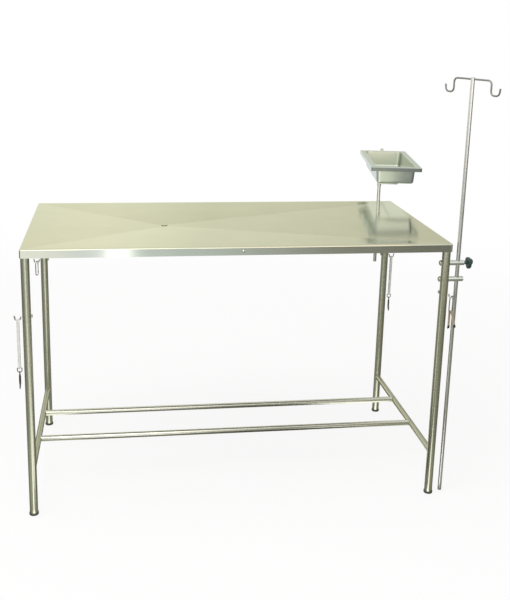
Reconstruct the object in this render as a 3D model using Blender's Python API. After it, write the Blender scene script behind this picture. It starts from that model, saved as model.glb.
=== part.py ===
"""A stainless-steel veterinary examination table.

It has a creased and drained top on four tube legs, an infusion pole on the front right leg,
a swivelling instrument tray on the rear right leg and a tie hook on every leg.
Metres, +Z up. The origin is the middle of the front left foot, on the floor.
"""

from math import cos, hypot, pi, radians, sin, sqrt, tau

import bmesh
import bpy
from mathutils import Vector

# Clearances, and the length by which every cut runs past what it cuts
FIT_GAP = 0.0003
RUNNING_GAP = 0.0004
CUT_OVERRUN = 0.004

# Top: a folded sheet with a turned-down skirt, creased towards its drain
TOP_LENGTH = 1.300
TOP_WIDTH = 0.650
TOP_HEIGHT = 0.850
SHEET = 0.0015
SKIRT_DEPTH = 0.025
SKIRT_FOLD_RADIUS = 0.0025
TOP_CORNER_RADIUS = 0.006
BORDER_WIDTH = 0.017
DRAIN_FALL = 0.010
DRAIN_FROM_LEFT_EDGE = 0.432
DRAIN_HOLE = 0.022

# Drain spigot, welded under the hole
SPIGOT_WALL = 0.002
SPIGOT_LENGTH = 0.045
SPIGOT_COLLAR_WIDTH = 0.006
SPIGOT_COLLAR_THICKNESS = 0.002

# Legs and their feet
LEG_DIAMETER = 0.0254
LEG_WALL = 0.0015
FOOT_WALL = 0.0014
FOOT_BASE = 0.003
FOOT_HEIGHT = 0.008
FOOT_ROUNDING = 0.001

# Frame tubes: the upper ones lie inside the skirt, the lower ones form an H below
UPPER_RAIL_DIAMETER = 0.022
LOWER_RAIL_DIAMETER = 0.019
RAIL_WALL = 0.0015
LOWER_RAIL_HEIGHT = 0.146
STRETCHER_SPACING = 0.194

# Screws that hold the skirt to the upper rails
SKIRT_SCREW_DIAMETER = 0.004
SKIRT_SCREW_LENGTH = 0.012
SKIRT_SCREW_HEAD_DIAMETER = 0.0095
SKIRT_SCREW_HEAD_HEIGHT = 0.0028

# Bars that carry the infusion pole and the tray post on their legs
ARM_DIAMETER = 0.016
ARM_REACH = 0.039
ARM_END_LENGTH = 0.0135
ARM_EDGE = 0.001
ARM_SPIGOT_DIAMETER = 0.008
UPPER_ARM_BELOW_TOP = 0.063
ARM_SPACING = 0.052
POST_ARM_ANGLE = radians(144)

# Cap nuts behind the arms and plain nuts behind the tie hooks
CAP_NUT_WIDTH = 0.015
CAP_NUT_HEX_HEIGHT = 0.0055
CAP_NUT_DOME_HEIGHT = 0.0035
HOOK_NUT_WIDTH = 0.0085
HOOK_NUT_HEIGHT = 0.004

# Clamp knobs with three lobes, and the screws that they turn
CLAMP_SCREW_DIAMETER = 0.006
CLAMP_SCREW_GRIP = 0.011
KNOB_RADIUS = 0.0165
KNOB_LOBE_DEPTH = 0.0035
KNOB_THICKNESS = 0.013
KNOB_EDGE = 0.003
KNOB_NECK_DIAMETER = 0.012
KNOB_NECK_LENGTH = 0.007
KNOB_STAND_OFF = 0.003

# Infusion pole, its head and its two-ended hook bar
POLE_DIAMETER = 0.012
POLE_WALL = 0.0012
POLE_FLOOR_CLEARANCE = 0.008
HOOK_BAR_ABOVE_TOP = 0.500
HOOK_BAR_DIAMETER = 0.0055
HOOK_BAR_ANGLE = radians(-63)
HOOK_BAR_SHOULDER = 0.071
HOOK_BAR_DROP = 0.0425
HOOK_BAR_MOUTH = 0.030
HOOK_BAR_TIP_RISE = 0.022
HOOK_BAR_TIP_LEAN = 0.003
HOOK_BAR_BEND_RADIUS = 0.012
POLE_HEAD_COVER = 0.0022
POLE_HEAD_SPIGOT_LENGTH = 0.018

# Tray post, carrier and instrument tray
POST_DIAMETER = 0.012
POST_WALL = 0.0015
POST_BELOW_LOWER_ARM = 0.123
TRAY_ABOVE_TOP = 0.0685
TRAY_YAW = radians(-9.5)
TRAY_WIDTH = 0.187
TRAY_LENGTH = 0.430
TRAY_DEPTH = 0.064
TRAY_SHEET = 0.001
TRAY_FLANGE = 0.021
TRAY_LIP = 0.014
TRAY_RIM_CORNER_RADIUS = 0.006
TRAY_WALL_CORNER_RADIUS = 0.012
TRAY_WALL_TAPER = 0.004
TRAY_FLOOR_RADIUS = 0.008
TRAY_POST_FROM_SIDE = 0.011
TRAY_POST_FROM_FRONT = 0.014
CARRIER_THICKNESS = 0.004
CARRIER_BAR_WIDTH = 0.022
CARRIER_BOSS_DIAMETER = 0.016
CARRIER_BOSS_HEIGHT = 0.006
CARRIER_PIN_LENGTH = 0.040
CARRIER_LUG_RISE = 0.008
CARRIER_LUG_WIDTH = 0.012
CARRIER_LUG_FROM_MIDDLE = 0.003

# Tie hooks on the legs
TIE_HOOK_DIAMETER = 0.0045
TIE_HOOK_BELOW_TOP = 0.204
FRONT_RIGHT_TIE_HOOK_BELOW_TOP = 0.160
FRONT_RIGHT_TIE_HOOK_ANGLE = radians(-35)
TIE_HOOK_SHANK = 0.004
TIE_HOOK_DIP = 0.0115
TIE_HOOK_SEAT = 0.014
TIE_HOOK_SLOPE = 0.0025
TIE_HOOK_TIP_RISE = 0.013
TIE_HOOK_BEND_RADIUS = 0.0045

# Spring clips on the rear left and front right hooks
CLIP_WIRE_DIAMETER = 0.0038
CLIP_LENGTH = 0.056
CLIP_WIDTH = 0.019
CLIP_GATE_DIAMETER = 0.0032
CLIP_GATE_LENGTH = 0.022
REAR_LEFT_CLIP_ANGLE = radians(62)
FRONT_RIGHT_CLIP_ANGLE = radians(30)

# Straps: two long loops with end hooks, and a short tan one through the front right clip
STRAP_WIDTH = 0.0085
STRAP_THICKNESS = 0.0012
STRAP_DROP = 0.150
RING_WIRE_DIAMETER = 0.0026
RING_SIDE_ROOM = 0.0012
RING_HEIGHT = 0.016
RING_BEND_SHARE = 0.75
END_HOOK_WIRE_DIAMETER = 0.0026
END_HOOK_BODY_DIAMETER = 0.0065
END_HOOK_LENGTH = 0.050
END_HOOK_MOUTH = 0.010
END_HOOK_TIP_RISE = 0.010
END_HOOK_TIP_LEAN = 0.0007
END_HOOK_EYE_START = radians(235)
END_HOOK_EYE_TURN = radians(325)
END_HOOK_TAPER_SHARE = 0.2
STRAP_JOINT_SHARE = 0.25
STRAP_CLOSING_SHARE = 0.25
TAN_STRAP_WIDTH_SHARE = 0.86
TAN_STRAP_THICKNESS = 0.0016
TAN_STRAP_REAR_DROP = 0.057
TAN_STRAP_FRONT_DROP = 0.048
TAN_STRAP_FRONT_SPREAD = 0.021
TAN_STRAP_KNEE_SHARE = 0.4

# Counts of facets, and the angles from which an edge is shaded sharp
TUBE_SIDES = 28
SMALL_SIDES = 16
CORNER_STEPS = 4
BEND_STEPS = 5
EYE_STEPS = 12
KNOB_SIDES = 36
KNOB_LOBES = 3
SHARP_ANGLE = radians(35)
TRAY_SHARP_ANGLE = radians(50)
LEVEL_NORMAL_SHARE = 0.99

# Places worked out from the sizes above
LEG_RADIUS = LEG_DIAMETER / 2
LEG_INSET = SHEET + FIT_GAP + LEG_RADIUS
LEG_SPAN_X = TOP_LENGTH - 2 * LEG_INSET
LEG_SPAN_Y = TOP_WIDTH - 2 * LEG_INSET
UNDER_TOP = TOP_HEIGHT - SHEET - FIT_GAP
UPPER_RAIL_HEIGHT = UNDER_TOP - UPPER_RAIL_DIAMETER / 2
UPPER_ARM_HEIGHT = TOP_HEIGHT - UPPER_ARM_BELOW_TOP
LOWER_ARM_HEIGHT = UPPER_ARM_HEIGHT - ARM_SPACING
ARM_LENGTH = ARM_REACH + POLE_DIAMETER / 2 + ARM_END_LENGTH
POLE_BORE = POLE_DIAMETER + 2 * RUNNING_GAP
POLE_X = LEG_SPAN_X + ARM_REACH
POST_X = LEG_SPAN_X + ARM_REACH * cos(POST_ARM_ANGLE)
POST_Y = LEG_SPAN_Y + ARM_REACH * sin(POST_ARM_ANGLE)
HOOK_BAR_HEIGHT = TOP_HEIGHT + HOOK_BAR_ABOVE_TOP
TRAY_BOTTOM_HEIGHT = TOP_HEIGHT + TRAY_ABOVE_TOP
CARRIER_TOP = TRAY_BOTTOM_HEIGHT - FIT_GAP
POST_TOP = CARRIER_TOP - CARRIER_THICKNESS - CARRIER_BOSS_HEIGHT - FIT_GAP
POST_BOTTOM = LOWER_ARM_HEIGHT - POST_BELOW_LOWER_ARM
CLIP_INSIDE_WIDTH = CLIP_WIDTH - 2 * CLIP_WIRE_DIAMETER
TAN_STRAP_WIDTH = CLIP_INSIDE_WIDTH * TAN_STRAP_WIDTH_SHARE
LEG_CORNERS = {
    "front_left": (0.0, 0.0),
    "front_right": (LEG_SPAN_X, 0.0),
    "rear_left": (0.0, LEG_SPAN_Y),
    "rear_right": (LEG_SPAN_X, LEG_SPAN_Y),
}
TIE_HOOK_HEIGHT = TOP_HEIGHT - TIE_HOOK_BELOW_TOP
TIE_HOOKS = {
    "front_left": (TIE_HOOK_HEIGHT, pi),
    "front_right": (TOP_HEIGHT - FRONT_RIGHT_TIE_HOOK_BELOW_TOP, FRONT_RIGHT_TIE_HOOK_ANGLE),
    "rear_left": (TIE_HOOK_HEIGHT, pi),
    "rear_right": (TIE_HOOK_HEIGHT, 0.0),
}


# Scene and material helpers


def clear_scene():
    for old in list(bpy.data.objects):
        bpy.data.objects.remove(old, do_unlink=True)


def material(name, color, roughness, metallic):
    """A Principled BSDF material, made once and then shared."""
    found = bpy.data.materials.get(name)
    if found:
        return found
    made = bpy.data.materials.new(name)
    made.use_nodes = True
    shader = made.node_tree.nodes["Principled BSDF"]
    shader.inputs["Base Color"].default_value = (*color, 1.0)
    shader.inputs["Roughness"].default_value = roughness
    shader.inputs["Metallic"].default_value = metallic
    return made


def polished_steel():
    return material("polished_steel", (0.60, 0.60, 0.53), 0.22, 1.0)


def tube_steel():
    return material("tube_steel", (0.46, 0.47, 0.40), 0.30, 1.0)


def pole_steel():
    return material("pole_steel", (0.50, 0.50, 0.47), 0.25, 1.0)


def tray_steel():
    return material("tray_steel", (0.56, 0.58, 0.52), 0.24, 1.0)


def bright_steel():
    return material("bright_steel", (0.78, 0.78, 0.74), 0.18, 1.0)


def dark_steel():
    return material("dark_steel", (0.13, 0.13, 0.12), 0.42, 1.0)


def foot_plastic():
    return material("foot_plastic", (0.045, 0.045, 0.045), 0.60, 0.0)


def knob_plastic():
    return material("knob_plastic", (0.030, 0.055, 0.052), 0.42, 0.0)


def grey_webbing():
    return material("grey_webbing", (0.62, 0.63, 0.60), 0.85, 0.0)


def tan_webbing():
    return material("tan_webbing", (0.46, 0.33, 0.21), 0.80, 0.0)


def add_object(name, data, look, parent=None, location=(0, 0, 0), rotation=(0, 0, 0)):
    """A named object with its own material slot, placed under its parent."""
    thing = bpy.data.objects.new(name, data)
    bpy.context.collection.objects.link(thing)
    if look:
        data.materials.append(look)
    thing.parent = parent
    thing.location = location
    thing.rotation_euler = rotation
    return thing


def add_empty(name, parent=None, location=(0, 0, 0), rotation=(0, 0, 0)):
    axis = bpy.data.objects.new(name, None)
    bpy.context.collection.objects.link(axis)
    axis.empty_display_size = LEG_DIAMETER
    axis.parent = parent
    axis.location = location
    axis.rotation_euler = rotation
    return axis


def finish_mesh(name, bm, smooth_angle=SHARP_ANGLE):
    """Closes a bmesh into mesh data with outward normals and smooth round faces."""
    bmesh.ops.recalc_face_normals(bm, faces=bm.faces)
    mesh = bpy.data.meshes.new(name)
    bm.to_mesh(mesh)
    bm.free()
    mesh.shade_smooth()
    mesh.set_sharp_from_angle(angle=smooth_angle)
    return mesh


def boolean(thing, tool, operation="DIFFERENCE"):
    cut = thing.modifiers.new(tool.name, "BOOLEAN")
    cut.operation = operation
    cut.solver = "EXACT"
    cut.object = tool


def as_cutter(tool):
    tool.hide_render = True
    tool.display_type = "WIRE"
    return tool


# Shape helpers


def turned_mesh(name, profile, sides=TUBE_SIDES):
    """Turns an (radius, height) profile about Z; a radius of zero closes it on the axis."""
    bm = bmesh.new()
    rings = []
    for radius, height in profile:
        if radius == 0:
            rings.append([bm.verts.new((0, 0, height))])
            continue
        turns = [tau * side / sides for side in range(sides)]
        rings.append([bm.verts.new((radius * cos(a), radius * sin(a), height)) for a in turns])
    pairs = list(zip(rings, rings[1:]))
    if profile[0][0] > 0:
        pairs.append((rings[-1], rings[0]))
    for low, high in pairs:
        join_rings(bm, low, high)
    return finish_mesh(name, bm)


def join_rings(bm, low, high):
    """Faces between two closed rings of vertices, of which one may be a single pole."""
    count = max(len(low), len(high))
    for i in range(count):
        j = (i + 1) % count
        if len(low) == 1:
            bm.faces.new((low[0], high[j], high[i]))
        elif len(high) == 1:
            bm.faces.new((low[i], low[j], high[0]))
        else:
            bm.faces.new((low[i], low[j], high[j], high[i]))


def tube_profile(diameter, wall, bottom, top):
    """The section of an open tube wall, from its bottom to its top."""
    outer = diameter / 2
    inner = outer - wall
    return [(inner, bottom), (outer, bottom), (outer, top), (inner, top)]


def rod_profile(diameter, bottom, top, edge=0.0):
    """The section of a solid round bar, with chamfered ends if it has an edge."""
    radius = diameter / 2
    if edge == 0:
        return [(0, bottom), (radius, bottom), (radius, top), (0, top)]
    return [
        (0, bottom),
        (radius - edge, bottom),
        (radius, bottom + edge),
        (radius, top - edge),
        (radius - edge, top),
        (0, top),
    ]


def rod_cutter(name, diameter, bottom, top, parent, location=(0, 0, 0), rotation=(0, 0, 0)):
    mesh = turned_mesh(name, rod_profile(diameter, bottom, top), SMALL_SIDES)
    return as_cutter(add_object(name, mesh, None, parent, location, rotation))


def prism_mesh(name, outline, bottom, top):
    """A straight-sided solid on an outline of (x, y) points."""
    bm = bmesh.new()
    low = [bm.verts.new((x, y, bottom)) for x, y in outline]
    high = [bm.verts.new((x, y, top)) for x, y in outline]
    bm.faces.new(low)
    bm.faces.new(high)
    join_rings(bm, low, high)
    return finish_mesh(name, bm)


def box_outline(x_min, x_max, y_min, y_max):
    return [(x_min, y_min), (x_max, y_min), (x_max, y_max), (x_min, y_max)]


def rounded_path(points, radius, steps=BEND_STEPS):
    """A polyline whose inner corners are arcs, each no larger than its two runs allow."""
    path = [points[0]]
    for before, corner, after in zip(points, points[1:], points[2:]):
        back = (before - corner).normalized()
        ahead = (after - corner).normalized()
        angle = back.angle(ahead)
        if abs(angle - pi) < radians(1):
            path.append(corner)
            continue
        room = min((before - corner).length, (after - corner).length) / 2
        setback = min(radius * cos(angle / 2) / sin(angle / 2), room)
        bend = setback * sin(angle / 2) / cos(angle / 2)
        middle = corner + (back + ahead).normalized() * hypot(setback, bend)
        first = corner + back * setback - middle
        last = corner + ahead * setback - middle
        for step in range(steps + 1):
            toward = first.normalized().slerp(last.normalized(), step / steps)
            path.append(middle + toward * bend)
    path.append(points[-1])
    return path


def wire_curve(name, path, diameter, shares=None, closed=False, resolution=2):
    """A bent wire along a path; the shares thin or thicken it from point to point."""
    curve = bpy.data.curves.new(name, "CURVE")
    curve.dimensions = "3D"
    curve.bevel_depth = diameter / 2
    curve.bevel_resolution = resolution
    curve.use_fill_caps = True
    spline = curve.splines.new("POLY")
    spline.points.add(len(path) - 1)
    for i, place in enumerate(path):
        spline.points[i].co = (*place, 1.0)
        spline.points[i].radius = shares[i] if shares else 1.0
    spline.use_cyclic_u = closed
    return curve


def ribbon_mesh(name, path, side, width, thickness):
    """A flat strap: a rectangle swept along a path, its width along the side vector."""
    bm = bmesh.new()
    rings = []
    for i, place in enumerate(path):
        ahead = path[min(i + 1, len(path) - 1)] - path[max(i - 1, 0)]
        normal = side.cross(ahead).normalized()
        across = side * (width / 2)
        through = normal * (thickness / 2)
        corners = (across + through, through - across, -across - through, across - through)
        rings.append([bm.verts.new(place + corner) for corner in corners])
    for low, high in zip(rings, rings[1:]):
        join_rings(bm, low, high)
    bm.faces.new(rings[0])
    bm.faces.new(rings[-1])
    return finish_mesh(name, bm)


def hex_outline(width):
    """A hexagon of this width across its flats."""
    corner = width / 2 / cos(pi / 6)
    return [(corner * cos(tau * i / 6), corner * sin(tau * i / 6)) for i in range(6)]


# Top panel and drain


def rectangle_loop(x_half, y_half, corner_radius, drain_x):
    """Points round a rectangle, with the same count however its corners are rounded."""
    loop = []
    for quarter in range(4):
        angle = pi + quarter * pi / 2
        x_sign = -1 if quarter in (0, 3) else 1
        y_sign = -1 if quarter in (0, 1) else 1
        x_centre = x_sign * (x_half - corner_radius)
        y_centre = y_sign * (y_half - corner_radius)
        for step in range(CORNER_STEPS + 1):
            turn = angle + step / CORNER_STEPS * pi / 2
            place = (x_centre + corner_radius * cos(turn), y_centre + corner_radius * sin(turn))
            loop.append(place)
        if quarter in (0, 2):
            loop.append((drain_x, y_sign * y_half))
        else:
            loop.append((x_sign * x_half, 0.0))
    return loop


def drain_loop(pan_loop, drain_x, radius):
    """The hole's rim, each point lying on the line from the drain to its point of the pan."""
    rim = []
    for x, y in pan_loop:
        reach = hypot(x - drain_x, y)
        rim.append((drain_x + radius * (x - drain_x) / reach, radius * y / reach))
    return rim


def top_panel():
    """The folded top sheet: skirt, flat border, and a pan creased from its corners to the drain."""
    bm = bmesh.new()
    x_half = TOP_LENGTH / 2
    y_half = TOP_WIDTH / 2
    drain_x = DRAIN_FROM_LEFT_EDGE - x_half
    levels = [(0, TOP_HEIGHT - SKIRT_DEPTH), (0, TOP_HEIGHT - SKIRT_FOLD_RADIUS)]
    for step in range(1, CORNER_STEPS + 1):
        turn = step / CORNER_STEPS * pi / 2
        inward = SKIRT_FOLD_RADIUS * (1 - cos(turn))
        levels.append((inward, TOP_HEIGHT - SKIRT_FOLD_RADIUS * (1 - sin(turn))))
    rings = []
    for inward, height in levels:
        corner = max(TOP_CORNER_RADIUS - inward, 0)
        loop = rectangle_loop(x_half - inward, y_half - inward, corner, drain_x)
        rings.append([bm.verts.new((x, y, height)) for x, y in loop])
    pan = rectangle_loop(x_half - BORDER_WIDTH, y_half - BORDER_WIDTH, 0, drain_x)
    rings.append([bm.verts.new((x, y, TOP_HEIGHT)) for x, y in pan])
    rim = drain_loop(pan, drain_x, DRAIN_HOLE / 2)
    rings.append([bm.verts.new((x, y, TOP_HEIGHT - DRAIN_FALL)) for x, y in rim])
    for low, high in zip(rings, rings[1:]):
        join_rings(bm, low, high)
    bmesh.ops.remove_doubles(bm, verts=bm.verts, dist=FIT_GAP / 10)
    sheet = finish_mesh("top_panel", bm)
    for face in sheet.polygons:
        face.use_smooth = face.normal.z < LEVEL_NORMAL_SHARE
    centre = (TOP_LENGTH / 2 - LEG_INSET, TOP_WIDTH / 2 - LEG_INSET, 0)
    panel = add_object("top_panel", sheet, polished_steel(), location=centre)
    thicken = panel.modifiers.new("sheet", "SOLIDIFY")
    thicken.thickness = SHEET
    thicken.offset = -1
    thicken.use_even_offset = True
    for side, y_side in (("front", -1), ("rear", 1)):
        hole = rod_cutter(
            side + "_skirt_hole",
            SKIRT_SCREW_DIAMETER + 2 * FIT_GAP,
            -SHEET - CUT_OVERRUN,
            CUT_OVERRUN,
            panel,
            (0, y_side * TOP_WIDTH / 2, UPPER_RAIL_HEIGHT),
            (-y_side * pi / 2, 0, 0),
        )
        boolean(panel, hole)
    return panel


def drain_spigot():
    """The outlet below the hole: a collar against the sheet and a short tube for a hose."""
    bore = DRAIN_HOLE / 2 - SPIGOT_WALL
    outer = DRAIN_HOLE / 2
    collar = outer + SPIGOT_COLLAR_WIDTH
    top = TOP_HEIGHT - DRAIN_FALL - SHEET - FIT_GAP
    profile = [
        (bore, top - SPIGOT_LENGTH),
        (outer, top - SPIGOT_LENGTH),
        (outer, top - SPIGOT_COLLAR_THICKNESS),
        (collar, top - SPIGOT_COLLAR_THICKNESS),
        (collar, top),
        (bore, top),
    ]
    place = (DRAIN_FROM_LEFT_EDGE - LEG_INSET, TOP_WIDTH / 2 - LEG_INSET, 0)
    add_object("drain_spigot", turned_mesh("drain_spigot", profile), tube_steel(), location=place)


# Frame


def leg(corner, place):
    """A leg tube, drilled for its tie hook and, on the right, for the two arms."""
    bottom = FOOT_BASE + FIT_GAP
    mesh = turned_mesh(corner + "_leg", tube_profile(LEG_DIAMETER, LEG_WALL, bottom, UNDER_TOP))
    tube = add_object(corner + "_leg", mesh, tube_steel(), location=(*place, 0))
    hook_height, hook_angle = TIE_HOOKS[corner]
    drill(tube, corner + "_hook_hole", TIE_HOOK_DIAMETER, hook_height, hook_angle)
    if corner in ("front_right", "rear_right"):
        angle = 0.0 if corner == "front_right" else POST_ARM_ANGLE
        drill(tube, corner + "_upper_arm_hole", ARM_SPIGOT_DIAMETER, UPPER_ARM_HEIGHT, angle)
        drill(tube, corner + "_lower_arm_hole", ARM_SPIGOT_DIAMETER, LOWER_ARM_HEIGHT, angle)
    return tube


def drill(tube, name, pin_diameter, height, angle):
    """Drills a leg right through for a pin at this height and angle."""
    reach = LEG_RADIUS + CUT_OVERRUN
    hole = rod_cutter(
        name,
        pin_diameter + 2 * FIT_GAP,
        -reach,
        reach,
        tube,
        (0, 0, height),
        (0, pi / 2, angle),
    )
    boolean(tube, hole)


def foot(corner, place):
    """A plastic ferrule under a leg."""
    bore = LEG_RADIUS + FIT_GAP
    outer = bore + FOOT_WALL
    profile = [
        (0, 0),
        (outer - FOOT_ROUNDING, 0),
        (outer, FOOT_ROUNDING),
        (outer, FOOT_HEIGHT - FOOT_ROUNDING),
        (outer - FOOT_ROUNDING, FOOT_HEIGHT),
        (bore, FOOT_HEIGHT),
        (bore, FOOT_BASE),
        (0, FOOT_BASE),
    ]
    mesh = turned_mesh(corner + "_foot", profile)
    add_object(corner + "_foot", mesh, foot_plastic(), location=(*place, 0))


def rail(name, start, end, diameter):
    """A tube between two places, its ends still square; the copes are cut afterwards."""
    run = Vector(end) - Vector(start)
    mesh = turned_mesh(name, tube_profile(diameter, RAIL_WALL, 0, run.length))
    turn = run.to_track_quat("Z", "Y").to_euler()
    return add_object(name, mesh, tube_steel(), location=start, rotation=turn)


def cope(tube, name, diameter, start, end):
    """Cuts a tube's end to fit round another tube, with the fitting gap between them."""
    run = Vector(end) - Vector(start)
    profile = rod_profile(diameter + 2 * FIT_GAP, -CUT_OVERRUN, run.length + CUT_OVERRUN)
    turn = run.to_track_quat("Z", "Y").to_euler()
    around = add_object(name, turned_mesh(name, profile), None, None, start, turn)
    boolean(tube, as_cutter(around))


def cope_to_leg(tube, corner):
    x, y = LEG_CORNERS[corner]
    cope(tube, tube.name + "_at_" + corner, LEG_DIAMETER, (x, y, 0), (x, y, TOP_HEIGHT))


def upper_frame():
    """Four tubes inside the skirt, against the underside of the border."""
    z = UPPER_RAIL_HEIGHT
    for side, y in (("front", 0.0), ("rear", LEG_SPAN_Y)):
        long_rail = rail(side + "_upper_rail", (0, y, z), (LEG_SPAN_X, y, z), UPPER_RAIL_DIAMETER)
        cope_to_leg(long_rail, side + "_left")
        cope_to_leg(long_rail, side + "_right")
        outward = -1 if side == "front" else 1
        pilot = rod_cutter(
            side + "_rail_screw_hole",
            SKIRT_SCREW_DIAMETER + 2 * FIT_GAP,
            0,
            UPPER_RAIL_DIAMETER / 2 + CUT_OVERRUN,
            None,
            (LEG_SPAN_X / 2, y, z),
            (-outward * pi / 2, 0, 0),
        )
        boolean(long_rail, pilot)
    front_end = UPPER_RAIL_DIAMETER / 2 + FIT_GAP
    rear_end = LEG_SPAN_Y - front_end
    for side, x in (("left", 0.0), ("right", LEG_SPAN_X)):
        end_rail = rail(side + "_upper_rail", (x, front_end, z), (x, rear_end, z), UPPER_RAIL_DIAMETER)
        cope_to_leg(end_rail, "front_" + side)
        cope_to_leg(end_rail, "rear_" + side)


def lower_frame():
    """A side rail between each pair of legs, and two stretchers between the side rails."""
    z = LOWER_RAIL_HEIGHT
    for side, x in (("left", 0.0), ("right", LEG_SPAN_X)):
        side_rail = rail(side + "_lower_rail", (x, 0, z), (x, LEG_SPAN_Y, z), LOWER_RAIL_DIAMETER)
        cope_to_leg(side_rail, "front_" + side)
        cope_to_leg(side_rail, "rear_" + side)
    for side, offset in (("front", -STRETCHER_SPACING / 2), ("rear", STRETCHER_SPACING / 2)):
        y = LEG_SPAN_Y / 2 + offset
        stretcher = rail(side + "_stretcher", (0, y, z), (LEG_SPAN_X, y, z), LOWER_RAIL_DIAMETER)
        for end, x in (("left", 0.0), ("right", LEG_SPAN_X)):
            name = stretcher.name + "_at_" + end + "_rail"
            cope(stretcher, name, LOWER_RAIL_DIAMETER, (x, 0, z), (x, LEG_SPAN_Y, z))


def skirt_screws():
    """A round-headed screw through the middle of each long skirt into its upper rail."""
    radius = SKIRT_SCREW_DIAMETER / 2
    head = SKIRT_SCREW_HEAD_DIAMETER / 2
    profile = [(0, -SKIRT_SCREW_LENGTH), (radius, -SKIRT_SCREW_LENGTH), (radius, FIT_GAP)]
    for step in range(CORNER_STEPS + 1):
        turn = step / CORNER_STEPS * pi / 2
        profile.append((head * cos(turn), FIT_GAP + SKIRT_SCREW_HEAD_HEIGHT * sin(turn)))
    profile[-1] = (0, FIT_GAP + SKIRT_SCREW_HEAD_HEIGHT)
    for side, outward, y in (("front", -1, -LEG_INSET), ("rear", 1, LEG_SPAN_Y + LEG_INSET)):
        name = side + "_skirt_screw"
        place = (LEG_SPAN_X / 2, y, UPPER_RAIL_HEIGHT)
        turn = (-outward * pi / 2, 0, 0)
        mesh = turned_mesh(name, profile, SMALL_SIDES)
        add_object(name, mesh, bright_steel(), location=place, rotation=turn)


# Arms, nuts and clamp knobs


def arm(name, leg_place, height, angle, bore_diameter, tapped):
    """A bar across a leg: a spigot goes through the leg and the bar beyond it holds a post."""
    axis = add_empty(name + "_axis", None, (*leg_place, height), (0, 0, angle))
    lay = (0, pi / 2, 0)
    bar = add_object(
        name,
        turned_mesh(name, rod_profile(ARM_DIAMETER, 0, ARM_LENGTH, ARM_EDGE)),
        bright_steel(),
        axis,
        rotation=lay,
    )
    upright = (0, -pi / 2, 0)
    reach = ARM_DIAMETER / 2 + CUT_OVERRUN
    cope_mesh = turned_mesh(name + "_cope", rod_profile(LEG_DIAMETER + 2 * FIT_GAP, -reach, reach))
    around = add_object(name + "_cope", cope_mesh, None, bar, rotation=upright)
    boolean(bar, as_cutter(around))
    spigot_end = LEG_RADIUS + FIT_GAP + CAP_NUT_HEX_HEIGHT
    spigot = rod_cutter(
        name + "_spigot",
        ARM_SPIGOT_DIAMETER,
        -spigot_end,
        ARM_REACH - bore_diameter,
        bar,
    )
    boolean(bar, spigot, "UNION")
    cross_bore = rod_cutter(
        name + "_cross_bore",
        bore_diameter,
        -reach,
        reach,
        bar,
        (0, 0, ARM_REACH),
        upright,
    )
    boolean(bar, cross_bore)
    if tapped:
        screw_bore = rod_cutter(
            name + "_screw_bore",
            CLAMP_SCREW_DIAMETER + 2 * FIT_GAP,
            ARM_REACH,
            ARM_LENGTH + CUT_OVERRUN,
            bar,
        )
        boolean(bar, screw_bore)
    cap_nut(name + "_nut", axis)
    return axis


def cap_nut(name, axis):
    """A domed hexagon nut on the spigot's end, on the far side of the leg."""
    seat = LEG_RADIUS + FIT_GAP
    dome_start = seat + CAP_NUT_HEX_HEIGHT
    bore = ARM_SPIGOT_DIAMETER / 2 + FIT_GAP
    mesh = prism_mesh(name, hex_outline(CAP_NUT_WIDTH), seat, dome_start)
    nut = add_object(name, mesh, bright_steel(), axis, rotation=(0, -pi / 2, 0))
    radius = CAP_NUT_WIDTH / 2
    profile = [(0, dome_start - CAP_NUT_HEX_HEIGHT / 2), (radius, dome_start - CAP_NUT_HEX_HEIGHT / 2)]
    for step in range(CORNER_STEPS):
        turn = step / CORNER_STEPS * pi / 2
        profile.append((radius * cos(turn), dome_start + CAP_NUT_DOME_HEIGHT * sin(turn)))
    profile.append((0, dome_start + CAP_NUT_DOME_HEIGHT))
    dome = as_cutter(add_object(name + "_dome", turned_mesh(name + "_dome", profile), None, nut))
    boolean(nut, dome, "UNION")
    boolean(nut, rod_cutter(name + "_bore", 2 * bore, 0, dome_start + FIT_GAP, nut))


def clamp_screw(name, axis, post_diameter):
    """The screw in an arm's end, its tip just off the post; it turns with its knob."""
    tip = ARM_REACH + post_diameter / 2 + FIT_GAP
    end = ARM_LENGTH + KNOB_STAND_OFF + CLAMP_SCREW_GRIP
    profile = rod_profile(CLAMP_SCREW_DIAMETER, tip, end)
    mesh = turned_mesh(name, profile, SMALL_SIDES)
    add_object(name, mesh, bright_steel(), axis, rotation=(0, pi / 2, 0))


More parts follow.
